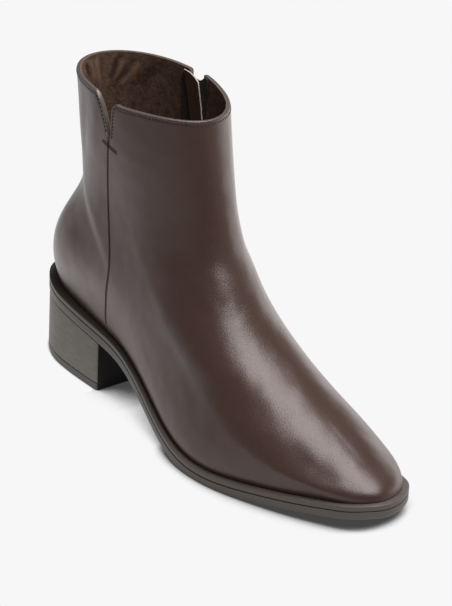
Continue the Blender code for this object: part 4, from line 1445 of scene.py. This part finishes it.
# Panels of light: middle, tilt and turn in degrees, width and height, radiance
PANELS = (
    ("soft_box", (0.36, 0.08, 1.06), 0, -25, 1.4, 0.55, 7.8),
    ("backdrop", (-0.15, 0.9, 0.15), -90, 0, 1.7, 0.3, 1.8),
    ("medial_paper", (-0.35, 0.55, 0.002), 180, 0, 1.1, 0.7, 0.8),
    ("pale_wall", (0.95, 0.92, 0.45), -90, -45, 1.8, 0.9, 0.35),
    ("rear_paper", (-0.42, -0.02, 0.002), 180, 0, 0.56, 0.34, 0.25),
    ("rear_card", (-1.05, -0.65, 0.14), 90, -57, 0.8, 0.36, 0.7),
    ("lateral_card", (-0.1, -1.2, 0.5), 75, 0, 1.6, 1.0, 0.08),
    ("low_card", (-0.1, -1.2, 0.12), 90, 0, 2.4, 0.24, 0.3),
)

# How far the contact shadow reaches in millimetres, from the heel through arch and ball to the toe
SHADOW_REACH = table(
    ("x", "reach"),
    (-136.0, 2.5),
    (-63.5, 2.5),
    (-62.5, 34.0),
    (-38.0, 31.0),
    (-20.0, 24.0),
    (5.0, 10.0),
    (40.0, 15.0),
    (71.0, 22.0),
    (108.0, 22.0),
    (118.0, 20.0),
    (125.0, 14.0),
    (132.0, 10.0),
    (150.0, 8.0),
)


def add_floor():
    """Paper floor that glows evenly white, with a contact shadow painted darker close under the boot, that
    fades out far from it.
    """
    mesh = bpy.data.meshes.new("floor")
    half = FLOOR_HALF
    corners = [(-half, -half, 0), (half, -half, 0), (half, half, 0), (-half, half, 0)]
    mesh.from_pydata(corners, [], [(0, 1, 2, 3)])
    black = (0.0, 0.0, 0.0, 1.0)
    paper, tree, shader, place = new_material(
        "white_paper", Base_Color=black, Roughness=1.0, Specular_IOR_Level=0.0, Emission_Strength=1.0
    )
    ahead = add_node(tree, "ShaderNodeSeparateXYZ", {"Vector": place}).outputs["X"]
    x_from, x_to = SHADOW_REACH["x"][0], SHADOW_REACH["x"][-1]
    boot_length = {"From Min": x_from * MM, "From Max": x_to * MM}
    share = add_node(tree, "ShaderNodeMapRange", {"Value": ahead, **boot_length})
    near = add_node(tree, "ShaderNodeValToRGB", {"Fac": share.outputs["Result"]})
    stops = near.color_ramp.elements
    for x in SHADOW_REACH["x"][1:-1]:
        stops.new((x - x_from) / (x_to - x_from))
    for stop, reach in zip(stops, SHADOW_REACH["reach"] * MM):
        stop.color = (reach, reach, reach, 1.0)
    # Painted contact shadow: the glow is darkened where the boot hides the floor's open sky
    sky = {"Distance": near.outputs["Color"], "Normal": LIT_FROM}
    open_sky = add_node(tree, "ShaderNodeAmbientOcclusion", sky, samples=SHADOW_SAMPLES)
    dimmed = {"Value": open_sky.outputs["AO"], "From Min": SHADOW_FULL, "From Max": SHADOW_NONE}
    lit = add_node(tree, "ShaderNodeMapRange", dimmed)
    greys = {0: lit.outputs["Result"], MIX_A: linear(SHADOW_GREY), MIX_B: linear(FLOOR_WHITE)}
    shade = add_node(tree, "ShaderNodeMix", greys, data_type="RGBA")
    far = add_node(tree, "ShaderNodeVectorMath", {0: place}, operation="LENGTH").outputs["Value"]
    fading = {"Value": far, "From Min": FLOOR_END, "From Max": FLOOR_FULL}
    fade = add_node(tree, "ShaderNodeMapRange", fading)
    link_inputs(tree, shader, {"Emission Color": shade.outputs[MIX_OUT], "Alpha": fade.outputs["Result"]})
    mesh.materials.append(paper)
    floor = add_object("floor", mesh)


def add_studio():
    """Panels of light in dim surroundings, with a plain white background for the camera."""
    for panel in PANELS:
        add_panel(*panel)
    world = bpy.data.worlds.new("studio")
    world.use_nodes = True
    tree = world.node_tree
    dim = tree.nodes["Background"]
    link_inputs(tree, dim, {"Color": (1.0, 1.0, 1.0, 1.0), "Strength": SURROUNDINGS})
    white = add_node(tree, "ShaderNodeBackground", {"Color": linear(FLOOR_WHITE)})
    seen = add_node(tree, "ShaderNodeLightPath").outputs["Is Camera Ray"]
    mixed = add_node(tree, "ShaderNodeMixShader", {0: seen, 1: dim.outputs[0], 2: white.outputs[0]})
    tree.links.new(mixed.outputs[0], tree.nodes["World Output"].inputs["Surface"])
    bpy.context.scene.world = world
    bpy.context.scene.view_settings.view_transform = "Standard"


add_camera()
add_floor()
add_studio()
